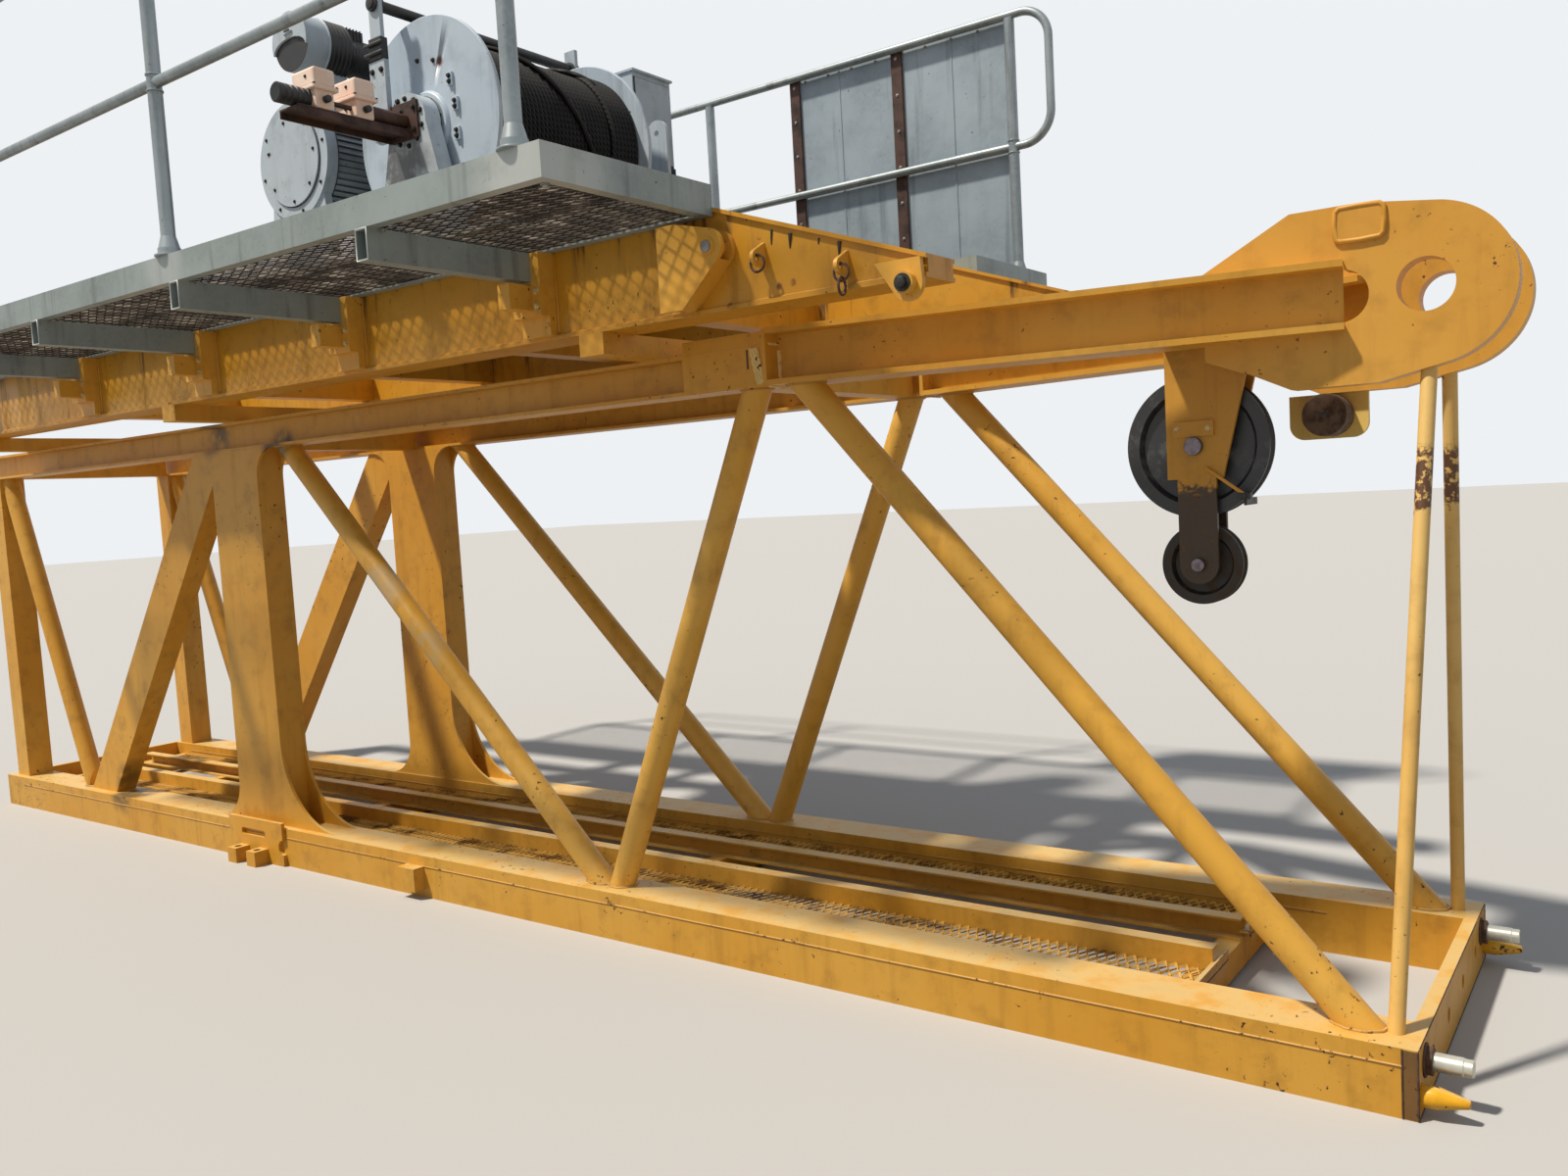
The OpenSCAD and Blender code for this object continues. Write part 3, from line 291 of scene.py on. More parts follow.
def coated(name, base, second, scale, rough, metal=0.0, relief=0.3, low=0.4, high=0.7):
    """A plain finish with its second tone in patches: grease, cast nylon, moulded plastic or bare rust."""
    material, tree, surface, place = finish_named(name)
    patch = add(tree, "TexNoise", {"Vector": place, "Scale": scale, "Detail": 6.0, "Roughness": 0.62})
    mask = masked(tree, patch, low, high)
    surface.inputs["Metallic"].default_value = metal
    colour = layered(tree, base, [(second, mask)])
    surfaced(tree, surface, colour, mask, rough, min(1.0, rough + 0.25), patch, relief)
    return material


# Dark patches where tubes meet the posts, and pale rain runs down one post's edge
dark_patch, pale_run = "#2e2212", "#b9ab8f"
frame_marks = [((back(5.21), -0.60, 2.19), 0.13, dark_patch, 0.85),
               ((back(5.80), -0.64, 2.30), 0.16, dark_patch, 0.75),
               ((back(7.07), -0.60, 0.24), 0.20, dark_patch, 0.8),
               ((back(4.45), -0.60, 1.45), 0.16, pale_run, 0.6),
               ((back(4.18), -0.60, 1.15), 0.18, pale_run, 0.55)]
frame_enamel = enamel("ochre_enamel", "#d39a30", "#d8a543", "#84591b", chips=0.685, spots=frame_marks)
tube_enamel = enamel("sun_bleached_ochre_enamel", "#dba63e", "#e2b252", "#8e6424", spots=frame_marks)
eye_enamel = enamel("ochre_enamel_on_thick_plate", "#d69c38", "#dca544", "#9a702a", chips=0.71, streaks=0.25)
seam_enamel = enamel("dusty_ochre_enamel_with_painted_shade", "#b28539", "#bf9248", "#6e5530", chips=0.62)
bead_paint = enamel("brushed_paint_on_weld", "#ead08a", "#c9a257", "#5a4420", chips=0.58)
# Dark brown enamel for the front end plate's narrow sides, which is painted shade
brown_enamel = enamel("painted_shade_brown_enamel", "#6e4f26", "#8a6430", "#3f2d1a", chips=0.60)
# The stored pin's part is painted pale cream, which is painted sunlight on it and on its lug plate
painted_sunlight_enamel = enamel("pale_ochre_enamel_as_painted_sunlight", "#f0d684", "#e6c873", "#a98a48", chips=0.72)
hanger_enamel = enamel("greasy_ochre_enamel", "#c68f2e", "#cd9b3e", "#6f4d1a",
                       bands=[(1.2, 1.745, "#1b1611", 0.95)])
rod_enamel = enamel("rusted_ochre_enamel", "#e0b564", "#e6c278", "#9a7030", chips=0.70,
                    bands=[(1.66, 1.83, "#4a2417", 0.95)])
pin_yellow = enamel("yellow_pin_enamel", "#e9ad16", "#efbb32", "#8a5a14", chips=0.62, rough=0.35)
deck_rust = [((back(d), -0.95, z), 0.016, "#6f3713", 1.0)
             for d, z in ((1.956, 2.440), (1.750, 2.475), (1.696, 2.480))]
deck_enamel = enamel("deck_yellow_enamel", "#cf9424", "#d39e36", "#7c5214", streaks=0.6, rough=0.42,
                     drips=(2.80, 0.36, "#5a3d18"), spots=deck_rust)
lug_enamel = enamel("sunlit_deck_enamel", "#dfa63c", "#e6b452", "#8a5c1a", chips=0.66, rough=0.42)
grey_dust = "#b5b4ac"
winch_enamel = enamel("blue_grey_enamel", "#b2c2d2", "#bfccd9", "#646d74", grey_dust, chips=0.69, rough=0.38)
flange_enamel = enamel("blue_grey_enamel_on_flange", "#b6c9de", "#c6d6e6", "#8593a1", grey_dust, chips=0.71,
                       streaks=0.6, rough=0.38, spots=[(rope_hole, 0.03, "#6b3a22", 0.9)])
# A dark patch on the near pedestal's face is painted shade, where that face lies in shadow below the bracket
pedestal_painted_shade = [(off(drum_axis, -0.10, near_face, -0.28), 0.34, "#3a3734", 0.85)]
pedestal_enamel = enamel("blue_grey_enamel_on_pedestal", "#bccbd9", "#c8d4e0", "#646d74", grey_dust, chips=0.69,
                         rough=0.38, spots=pedestal_painted_shade)
hub_paint = enamel("dark_grey_enamel", "#6f7b84", "#7c8890", "#3f464b", "#8d8d87", rough=0.4)
# Near black enamel for the motor's fins: grime, and painted shade for the motor's shaded side
motor_side = enamel("grimy_grey_enamel_with_painted_shade", "#343a3e", "#4c5357", "#151613", "#77756c", chips=0.66, streaks=0.7)
black_paint = coated("black_enamel_and_painted_shade", "#17181a", "#2b2c2d", 16, 0.45, relief=0.1)
dark_bolt = coated("oiled_bolt_steel", "#25272a", "#3d342b", 60, 0.45, metal=0.4)
zinc_bolt = coated("zinc_plated_bolt", "#a2a6a4", "#77705f", 60, 0.45, metal=0.6)
pale_bolt = coated("painted_bolt", "#e2c98c", "#b08b4c", 60, 0.5)
handrail_zinc = zinc("galvanised_tube", "#9da6aa", "#7a8489", "#565d60", rough=0.42)
# Chalk shows at the platform's front corner and round the posts' feet
platform_chalk = [((back(2.0), -1.73, 2.79), 0.36, "#c5c9c6", 0.5)]
platform_chalk += [((back(d), -1.73, 2.80), 0.17, "#b9c0c0", 0.5) for d in post_places[:3]]
platform_zinc = zinc("galvanised_plate", "#98a3a4", "#808b8c", "#5b605e", rough=0.55, metal=0.3,
                     spots=platform_chalk)
pale_zinc = zinc("scraped_zinc", "#d4d8d6", "#b4bab8", "#8a8d88", metal=0.3)
stud_zinc = zinc("zinc_plated_stud", "#d2d2c8", "#a9a99c", "#6c5c3c", rough=0.35, metal=0.6)
board_zinc = zinc("galvanised_sheet", "#a0afbc", "#8a99a6", "#66727a", rough=0.6, metal=0.3, spangle_mm=22)
rope_grease = wire_rope("greased_wire_rope", drum_axis, 0.38)
# Cast nylon shows dull scuffs where the rope has run
sheave_nylon = coated("cast_nylon", "#2a2c2f", "#5a5f64", 14, 0.42, relief=0.1, low=0.5, high=0.72)
grease_cake = coated("caked_grease", "#17130f", "#3b2c1b", 22, 0.55, relief=0.8)
box_plastic = coated("moulded_polyester", "#fbdccb", "#fff0e6", 11, 0.5, relief=0.08)
bare_rust = coated("rusted_steel", "#5a4334", "#3a281e", 35, 0.8, relief=0.5)
pin_rust = coated("rusted_forging", "#5d4a3b", "#3b2d25", 40, 0.75, relief=0.5)
brown_frame = coated("brown_primer_and_painted_shade", "#4a3027", "#2a1d1a", 12, 0.6)
mesh_rust = coated("rusting_mesh", "#ddb35c", "#7a5628", 7, 0.7, relief=0.4, low=0.46, high=0.64)
# The platform mesh is dark brown: dirt, and painted shade for the strands' undersides that lie in shadow
painted_shade_mesh_zinc = coated("dirty_zinc_mesh_with_painted_shade", "#564c41", "#342b23", 9, 0.6, metal=0.2, relief=0.4, low=0.36, high=0.56)
pin_steel = coated("turned_steel", "#8d8a88", "#5f5b58", 30, 0.4, metal=0.7, relief=0.1)
axle_steel = coated("oxidised_axle_steel", "#8b8390", "#6d6570", 40, 0.5, metal=0.3, relief=0.1)
cable_rubber = coated("black_rubber", "#161616", "#2a2a2a", 20, 0.55, relief=0.1)

finishes = {
    deck_enamel: ["deck_girders", "deck_cross_beams"],
    lug_enamel: ["girder_lugs"],
    tube_enamel: ["front_braces", "mid_braces", "rear_braces"],
    eye_enamel: ["near_eye_plate", "far_eye_plate"],
    hanger_enamel: ["sheave_hanger"],
    painted_sunlight_enamel: ["stored_pin"],
    pedestal_enamel: ["winch_pedestals"],
    rod_enamel: ["hanger_rods"],
    platform_zinc: ["outriggers", "platform_frames", "winch_base"],
    handrail_zinc: ["rail_posts", "handrails"],
    board_zinc: ["wind_boards"],
    winch_enamel: ["hoist_motor", "hoist_gearbox", "control_cabinet", "rope_guard"],
    sheave_nylon: ["rope_sheave"],
    grease_cake: ["tail_sheave"],
    box_plastic: ["junction_boxes"],
    pin_steel: ["guide_pins"],
}
special = {name: material for material, names in finishes.items() for name in names}
for name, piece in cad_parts.items():
    piece.material_slots[0].material = special.get(name, frame_enamel)

# Modelling helpers


def hold(*pieces):
    """Selects these pieces alone, the first of them active, so that an operator acts on nothing else."""
    bpy.ops.object.select_all(action="DESELECT")
    for piece in pieces:
        piece.select_set(True)
    if pieces:
        bpy.context.view_layer.objects.active = pieces[0]


def fixed(piece):
    """Applies a piece's place and turn to its mesh."""
    hold(piece)
    bpy.ops.object.transform_apply(location=True, rotation=True, scale=True)
    return piece


def worked(piece, kind, **settings):
    """Adds a modifier to a piece and applies it."""
    step = piece.modifiers.new("step", kind)
    for key, value in settings.items():
        setattr(step, key, value)
    hold(piece)
    bpy.ops.object.modifier_apply(modifier="step")
    return piece


def softened(piece, width, segments=2, angle=35):
    """Bevels the sharp edges of a piece, unless the width is 0."""
    if not width:
        return piece
    return worked(piece, "BEVEL", width=width, segments=segments, limit_method="ANGLE",
                  angle_limit=math.radians(angle))


def smooth(piece, angle=35):
    """Shades a piece smooth but for its sharp edges."""
    hold(piece)
    bpy.ops.object.shade_smooth_by_angle(angle=math.radians(angle))
    return piece


def as_one(*parts):
    """Joins parts into the first of them."""
    hold(*parts)
    if len(parts) > 1:
        bpy.ops.object.join()
    return parts[0]


def placed(data):
    """Puts a new mesh or curve in the scene as a piece, and holds it."""
    piece = bpy.data.objects.new("piece", data)
    bpy.context.collection.objects.link(piece)
    hold(piece)
    return piece


def block(low, high, edge=0.003):
    """A box between two corners with softened edges."""
    low, high = Vector(low), Vector(high)
    hold()
    bpy.ops.mesh.primitive_cube_add(size=1, location=(low + high) / 2)
    piece = bpy.context.object
    piece.scale = high - low
    return softened(fixed(piece), edge)


def rod(start, end, radius, sides=24, edge=0.002, end_radius=None):
    """A round bar between two points."""
    start, end = Vector(start), Vector(end)
    run = end - start
    hold()
    bpy.ops.mesh.primitive_cone_add(
        vertices=sides, radius1=radius, radius2=end_radius or radius, depth=run.length,
        location=(start + end) / 2, rotation=run.to_track_quat("Z", "Y").to_euler())
    return smooth(softened(fixed(bpy.context.object), edge))


def outline_plate(points, y, thickness, edge=0.002):
    """A plate lying in X and Z, from Y back to the thickness, with the outline given."""
    hold()
    bpy.ops.mesh.primitive_circle_add(vertices=len(points), fill_type="NGON")
    piece = bpy.context.object
    for corner, (x, z) in zip(piece.data.vertices, points):
        corner.co = (x, 0, z)
    bpy.ops.object.mode_set(mode="EDIT")
    bpy.ops.mesh.select_all(action="SELECT")
    bpy.ops.mesh.extrude_region_move(TRANSFORM_OT_translate={"value": (0, thickness, 0)})
    bpy.ops.mesh.select_all(action="SELECT")
    bpy.ops.mesh.normals_make_consistent(inside=False)
    bpy.ops.object.mode_set(mode="OBJECT")
    piece.location = (0, y, 0)
    return fixed(softened(piece, edge))


def turned(profile, centre, steps=96, closed=False):
    """A solid turned round an axis along Y, from the radius at each Y. A closed profile makes a ring."""
    mesh = bpy.data.meshes.new("profile")
    lines = [(i, (i + 1) % len(profile)) for i in range(len(profile) - (not closed))]
    mesh.from_pydata([(centre[0] + r, y, centre[2]) for r, y in profile], lines, [])
    piece = placed(mesh)
    bpy.ops.object.mode_set(mode="EDIT")
    bpy.ops.mesh.select_all(action="SELECT")
    bpy.ops.mesh.spin(steps=steps, angle=2 * math.pi, center=centre, axis=(0, 1, 0))
    bpy.ops.mesh.select_all(action="SELECT")
    bpy.ops.mesh.remove_doubles(threshold=0.00005)
    bpy.ops.mesh.normals_make_consistent(inside=False)
    bpy.ops.object.mode_set(mode="OBJECT")
    return smooth(piece, 30)


def turned_along_x(profile, y, z, steps=48):
    """A solid turned round an axis along X: the profile gives the radius at each X."""
    piece = turned(profile, Vector((0, 0, 0)), steps)
    piece.matrix_world = Matrix.Translation((0, y, z)) @ Matrix.Rotation(-math.pi / 2, 4, "Z")
    return fixed(piece)


def grooves(start, pitch, count, shape):
    """The profile of a row of grooves: radii and steps along the axis, repeated at a pitch."""
    return [(radius, start + i * pitch + along) for i in range(count) for radius, along in shape]


def bent_tube(points, radius, cyclic=False, sides=3):
    """A tube that follows points, as a mesh."""
    line = bpy.data.curves.new("line", "CURVE")
    line.dimensions = "3D"
    line.bevel_depth = radius
    line.bevel_resolution = sides
    line.use_fill_caps = True
    run = line.splines.new("POLY")
    run.points.add(len(points) - 1)
    for bend, at in zip(run.points, points):
        bend.co = (*at, 1)
    run.use_cyclic_u = cyclic
    placed(line)
    bpy.ops.object.convert(target="MESH")
    return smooth(bpy.context.object, 60)


def arc(radius, start, end, count):
    """X and Z of points along an arc, with its angles in degrees."""
    angles = [math.radians(start + (end - start) * i / (count - 1)) for i in range(count)]
    return [(radius * math.cos(angle), radius * math.sin(angle)) for angle in angles]


def hoop(axis, y, radius, thick, count=72, sides=3):
    """A thin round bar bent to a ring round an axis along Y."""
    points = [off(axis, x, y, z) for x, z in arc(radius, 0, 360, count + 1)[:-1]]
    return bent_tube(points, thick, cyclic=True, sides=sides)


def joined(name, parts, material, body="frame"):
    """Joins parts into one named piece, with its finish, and lets it ride on its body."""
    piece = as_one(*parts)
    piece.name = name
    piece.data.name = name
    piece.data.materials.clear()
    piece.data.materials.append(material)
    fixed(piece)
    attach(piece, body)
    return piece


def facing(at, direction, spin=0.0):
    """The place of a copy that stands at a point with its own Z along a direction."""
    turn = Vector(direction).to_track_quat("Z", "Y").to_matrix().to_4x4()
    return Matrix.Translation(at) @ turn @ Matrix.Rotation(spin, 4, "Z")


def copies(model, places):
    """Copies of one modelled piece at many places, as one piece. The model is used up."""
    built = bmesh.new()
    for place in places:
        mesh = model.data.copy()
        mesh.transform(place)
        built.from_mesh(mesh)
        bpy.data.meshes.remove(mesh)
    many = bpy.data.meshes.new("copies")
    built.to_mesh(many)
    built.free()
    bpy.data.objects.remove(model)
    return placed(many)


def bolts(name, places, radius, height, material, body="frame"):
    """Hexagon heads on their washers at many places, as one piece."""
    washer_top = height * 0.22
    washer = rod((0, 0, 0), (0, 0, washer_top), radius * 1.45, sides=16, edge=0)
    head = rod((0, 0, washer_top), (0, 0, height), radius, sides=6, edge=radius * 0.12)
    return joined(name, [copies(as_one(head, washer), places)], material, body)


def ring_of(axis, y, radius, count, direction, start=0.0):
    """Places on a circle round an axis along Y."""
    turns = [start + 2 * math.pi * i / count for i in range(count)]
    return [facing(off(axis, radius * math.cos(a), y, radius * math.sin(a)), direction, a) for a in turns]


def mirrored(places):
    """The same places with their copies on the far side."""
    flip = Matrix.Scale(-1, 4, IN)
    return places + [flip @ place @ flip for place in places]


def cut(piece, tool):
    """Cuts a tool's shape out of a piece. The tool is used up."""
    worked(piece, "BOOLEAN", operation="DIFFERENCE", solver="EXACT", object=tool)
    bpy.data.objects.remove(tool)
    return piece


# Gratings of expanded metal


def diamond_cell(long_way, short_way, strand, thick):
    """One diamond of expanded metal: four strands that lean over, as the press leaves them."""
    corners = [Vector((0, short_way / 2, 0)), Vector((long_way / 2, short_way, 0)),
               Vector((long_way, short_way / 2, 0)), Vector((long_way / 2, 0, 0))]
    strands = []
    for corner, other in zip(corners, corners[1:] + corners[:1]):
        run = other - corner
        hold()
        bpy.ops.mesh.primitive_cube_add(size=1)
        piece = bpy.context.object
        turn = Matrix.Rotation(math.atan2(run.y, run.x), 4, "Z") @ Matrix.Rotation(math.radians(55), 4, "X")
        size = Matrix.Diagonal((run.length, strand, thick, 1))
        piece.matrix_world = Matrix.Translation((corner + other) / 2) @ turn @ size
        strands.append(piece)
    return fixed(as_one(*strands))


def expanded_metal(name, low, high, level, long_way, short_way, strand, material):
    """A panel of 3 mm diamonds that fills a rectangle."""
    counts = [int((high[0] - low[0]) / long_way), int((high[1] - low[1]) / short_way)]
    steps = [(high[axis] - low[axis]) / counts[axis] for axis in (0, 1)]
    cell = diamond_cell(*steps, strand, 0.003)
    for axis in (0, 1):
        shift = [steps[axis] if i == axis else 0 for i in range(3)]
        worked(cell, "ARRAY", use_relative_offset=False, use_constant_offset=True, count=counts[axis],
               constant_offset_displace=shift)
    cell.location = (low[0], low[1], level)
    return joined(name, [fixed(cell)], material)


def gratings():
    """Walkway meshes between chord and inner bar, and the platforms' meshes."""
    sunk = 0.004
    low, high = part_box("walkway_gratings")
    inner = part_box("walkway_bars")[1].y
    for side, name in ((-1, "near_walkway_mesh"), (1, "far_walkway_mesh")):
        y0, y1 = sorted((side * high.y, side * inner))
        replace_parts(expanded_metal(name, (low.x, y0), (high.x, y1), high.z - sunk, 0.036, 0.065, 0.0095,
                                   mesh_rust), "walkway_gratings")
    low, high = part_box("platform_gratings")
    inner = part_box("deck_girders")[1].y + 0.007
    # The platforms' mesh is darkened with painted shade for strands seen from below
    for side, name in ((-1, "near_platform_mesh"), (1, "far_platform_mesh")):
        y0, y1 = sorted((side * high.y, side * inner))
        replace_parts(expanded_metal(name, (low.x, y0), (high.x, y1), high.z - sunk, 0.075, 0.034, 0.006,
                                   painted_shade_mesh_zinc), "platform_gratings")


# Hoist


def rope_layer(start, end, crown, width):
    """One layer of wound rope: closed turns, round at the crown."""
    turns = round((end - start) / width)
    step = (end - start) / turns
    crest = grooves(start, step, turns, [(crown - step / 2 * (1 - math.sin(math.pi * i / 5)), i / 5 * step)
                                         for i in range(5)])
    return turned([(crown - 0.03, start)] + crest + [(crown - step / 2, end), (crown - 0.03, end)], drum_axis,
                  closed=True)


def crossing_turn(start_angle, end_angle, start_y, end_y, crown):
    """A loose turn that lies across the layer and dips between its turns at both ends."""
    points = []
    for i in range(61):
        part = i / 60
        angle = math.radians(start_angle + (end_angle - start_angle) * part)
        dip = max(0.0, abs(2 * part - 1) - 0.75) / 0.25
        radius = crown + 0.010 - 0.030 * dip * dip
        points.append(off(drum_axis, radius * math.cos(angle), start_y + (end_y - start_y) * part,
                          radius * math.sin(angle)))
    return bent_tube(points, 0.012)


def drum():
    """Flanged drum with its hubs, greased rope and the clamps of the rope's end."""
    flange, plate, hub_out, barrel, wound, rope_d = 0.460, 0.022, 0.015, 0.340, 0.380, 0.024
    side = [(0.06, 0.0), (0.140, 0.0), (0.146, 0.004), (0.152, 0.015), (flange - 0.004, 0.015), (flange, 0.019),
            (flange, 0.011 + plate), (flange - 0.004, 0.015 + plate), (barrel, 0.015 + plate)]
    near_hub, far_hub = near_flange - hub_out, far_flange + hub_out
    profile = [(0, drum_low.y), (0.058, drum_low.y), (0.06, drum_low.y + 0.002)]
    profile += [(r, near_hub + y) for r, y in side]
    profile += [(r, far_hub - y) for r, y in reversed(side)]
    profile += [(0.06, drum_high.y - 0.002), (0.058, drum_high.y), (0, drum_high.y)]
    hole = rod(rope_hole + OUT * 0.06, rope_hole + IN * 0.09, 0.014, edge=0)
    body = cut(turned(profile, drum_axis, steps=128), hole)
    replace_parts(joined("drum_shell", [body], flange_enamel, "hoist_drum"), "hoist_drum")
    rope = [rope_layer(near_flange + plate, far_flange - plate, wound, rope_d),
            rope_layer(0.048, far_flange - plate, wound + 0.019, rope_d),
            crossing_turn(112, -34, -0.560, 0.010, wound), crossing_turn(140, 40, -0.10, 0.10, wound + 0.004)]
    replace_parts(joined("drum_rope", rope, rope_grease, "hoist_drum"), "hoist_drum")
    cover = [(0.062, 0.0), (0.100, 0.002), (0.104, 0.005), (0.124, 0.005), (0.128, 0.001), (0.128, -0.004),
             (0.062, -0.004)]
    hubs = [turned([(r, y + way * out) for r, out in cover], drum_axis, steps=64, closed=True)
            for y, way in ((near_hub, -1), (far_hub, 1))]
    joined("drum_hub_covers", hubs, hub_paint, "hoist_drum")
    cover_bolts = ring_of(drum_axis, near_hub - 0.0045, 0.114, 8, OUT, 0.2)
    cover_bolts += ring_of(drum_axis, far_hub + 0.0045, 0.114, 8, IN, 0.2)
    bolts("drum_hub_bolts", cover_bolts, 0.007, 0.007, dark_bolt, "hoist_drum")
    # Three small plates on the near flange clamp the rope's end, and three bolts stand by themselves
    clamps = [(0.176, 0.162), (0.201, 0.055), (0.200, -0.066)]
    faces = [facing(off(drum_axis, x, near_flange, z), OUT) for x, z in clamps]
    joined("rope_end_clamps", [copies(block((-0.016, -0.028, -0.001), (0.016, 0.028, 0.012), 0.002), faces)],
           flange_enamel, "hoist_drum")
    heads = [facing(off(drum_axis, x, near_flange - 0.012, z + shift), OUT, x)
             for x, z in clamps for shift in (-0.012, 0.012)]
    heads += [facing(off(drum_axis, x, near_flange, z), OUT)
              for x, z in ((-0.032, 0.286), (0.070, 0.265), (-0.2, -0.18))]
    bolts("rope_end_bolts", heads, 0.0075, 0.010, dark_bolt, "hoist_drum")


def pedestals():
    """Foot plates, webs, bearing bolts and bolts of both bearing pedestals, and the guard bar over the drum."""
    foot_top, web_top = base_top + 0.018, 3.18
    feet, anchors, rings, webs = [], [], [], []
    for y, way in ((near_face, 1), (far_face, -1)):
        low, high = sorted((y - way * 0.030, y + way * 0.100))
        feet.append(block((drum_axis.x - 0.31, low, base_top - 0.002), (drum_axis.x + 0.31, high, foot_top)))
        anchors += [facing((drum_axis.x + x, (low + high) / 2, foot_top), UP, x) for x in (-0.283, 0.283)]
        rings += ring_of(drum_axis, y, 0.098, 10, OUT * way, 0.35)
        low, high = sorted((y - way * 0.026, y + way * 0.002))
        webs += [block((drum_axis.x + x - 0.006, low, base_top + 0.016), (drum_axis.x + x + 0.006, high, web_top))
                 for x in (-0.235, -0.08, 0.08, 0.235)]
    joined("pedestal_feet", feet, winch_enamel)
    bolts("pedestal_anchor_bolts", anchors, 0.015, 0.020, zinc_bolt)
    bolts("bearing_bolts", rings, 0.008, 0.010, dark_bolt)
    joined("pedestal_webs", webs, winch_enamel)
    low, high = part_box("rope_guard")
    bar = Vector((back(3.890), 0, 3.980))
    parts = [rod((bar.x, low.y - 0.001, bar.z), (bar.x, high.y + 0.001, bar.z), 0.0235)]
    parts += [rod((bar.x, y - 0.006, bar.z), (bar.x, y + 0.006, bar.z), 0.033)
              for y in (-0.823, -0.787, 0.337, 0.373)]
    parts.append(block((bar.x - 0.041, -0.824, 3.745), (bar.x + 0.041, -0.786, 3.838)))
    parts += [rod((bar.x - 0.062, -0.829, z), (bar.x + 0.058, -0.829, z), 0.008, sides=12)
              for z in (3.77, 3.81)]
    joined("guard_bar_cover", parts, black_paint)
    foot_face = -0.8205
    foot = block((bar.x - 0.052, foot_face, 3.41), (bar.x + 0.052, -0.7955, 3.742), 0.002)
    joined("guard_foot_plate", [foot], winch_enamel)
    heads = [facing((bar.x + x, foot_face, z), OUT, z) for x in (-0.03, 0.03) for z in (3.47, 3.70)]
    bolts("guard_foot_bolts", heads, 0.009, 0.011, dark_bolt)


def motor():
    """Cooling fins, covers, gaskets and bolts of the motor."""
    fin = block((0.246, -0.682, -0.002), (0.268, -0.298, 0.002), 0.0008)
    turns = [Matrix.Translation(motor_axis) @ Matrix.Rotation(2 * math.pi * i / 56, 4, "Y") for i in range(56)]
    # The fins' near black is grime together with painted shade of the motor's shaded side
    joined("motor_fins", [copies(fin, turns)], motor_side)
    joined("motor_gaskets", [hoop(motor_axis, -0.7405, 0.2125, 0.0028), hoop(motor_axis, -0.681, 0.271, 0.0025)],
           cable_rubber)
    screws = [facing(off(motor_axis, x, -0.750, z), OUT) for x, z in
              ((-0.039, 0.178), (0.116, 0.150), (-0.178, 0.062), (-0.150, -0.110), (0.130, -0.128), (0.0, -0.190),
               (0.176, 0.02))]
    screws += ring_of(motor_axis, -0.740, 0.243, 8, OUT, 0.2)
    bolts("motor_cover_screws", screws, 0.006, 0.006, dark_bolt)
    foot_top = base_top + 0.016
    feet = [block((motor_axis.x - 0.30, y, base_top - 0.002), (motor_axis.x + 0.30, y + 0.085, foot_top))
            for y in (-0.752, -0.312)]
    joined("motor_feet", feet, winch_enamel)
    anchors = [facing((motor_axis.x + x, y, foot_top), UP, y) for x in (-0.275, 0.275) for y in (-0.71, -0.27)]
    bolts("motor_foot_bolts", anchors, 0.013, 0.018, zinc_bolt)


def blower():
    """The blower's shield, with an arch below for the air, and behind it the blower's own ribbed motor."""
    outline = arc(0.134, -16, 196, 33)
    outline += [(x, -0.036 + z * 0.052 / 0.122) for x, z in arc(0.122, 180, 0, 17)]
    louvre = [(-0.030, 0.030), (0.034, 0.040), (0.0, 0.085)]
    plates = [outline_plate([(cowl_axis.x + x, cowl_axis.z + z) for x, z in points], y, 0.012, edge)
              for points, y, edge in ((outline, -0.803, 0.002), (louvre, -0.812, 0.003))]
    joined("blower_shield", plates + [hoop(cowl_axis, -0.676, 0.131, 0.005, count=64)], winch_enamel)
    parts = [turned([(0, -0.7915), (0.128, -0.7915), (0.1295, -0.789), (0, -0.789)], cowl_axis, steps=48)]
    mouth = [(0.128, -0.672), (0.1335, -0.672)]
    mouth += grooves(-0.665, 0.022, 5, [(0.1335, 0), (0.1305, 0.004), (0.1305, 0.010), (0.1335, 0.014)])
    mouth += [(0.1335, -0.557), (0.080, -0.5565), (0.080, -0.5585), (0.128, -0.5585)]
    parts.append(turned(mouth, cowl_axis, steps=64, closed=True))
    rear = [(0.0, -0.5595), (0.0885, -0.5595)]
    rear += grooves(-0.555, 0.017, 9, [(0.0885, 0), (0.0885, 0.006), (0.0865, 0.008), (0.0865, 0.015)])
    rear += [(0.0885, -0.400), (0.0885, -0.3885), (0.080, -0.3835), (0, -0.3835)]
    parts.append(turned(rear, cowl_axis, steps=48))
    parts.append(block(off(cowl_axis, -0.033, -0.533, 0.06), off(cowl_axis, 0.053, -0.437, 0.118), 0.004))
    for i in range(3):
        z = 0.043 + i * 0.011
        parts.append(block(off(cowl_axis, -0.02 + i * 0.002, -0.8145, z),
                           off(cowl_axis, 0.024 - i * 0.005, -0.811, z + 0.005), 0.0008))
    parts += [block(off(cowl_axis, -0.037, y, 0.07), off(cowl_axis, 0.057, y + 0.004, 0.122), 0.0008)
              for y in (-0.527, -0.509, -0.491, -0.473, -0.455)]
    joined("blower_motor", parts, black_paint)


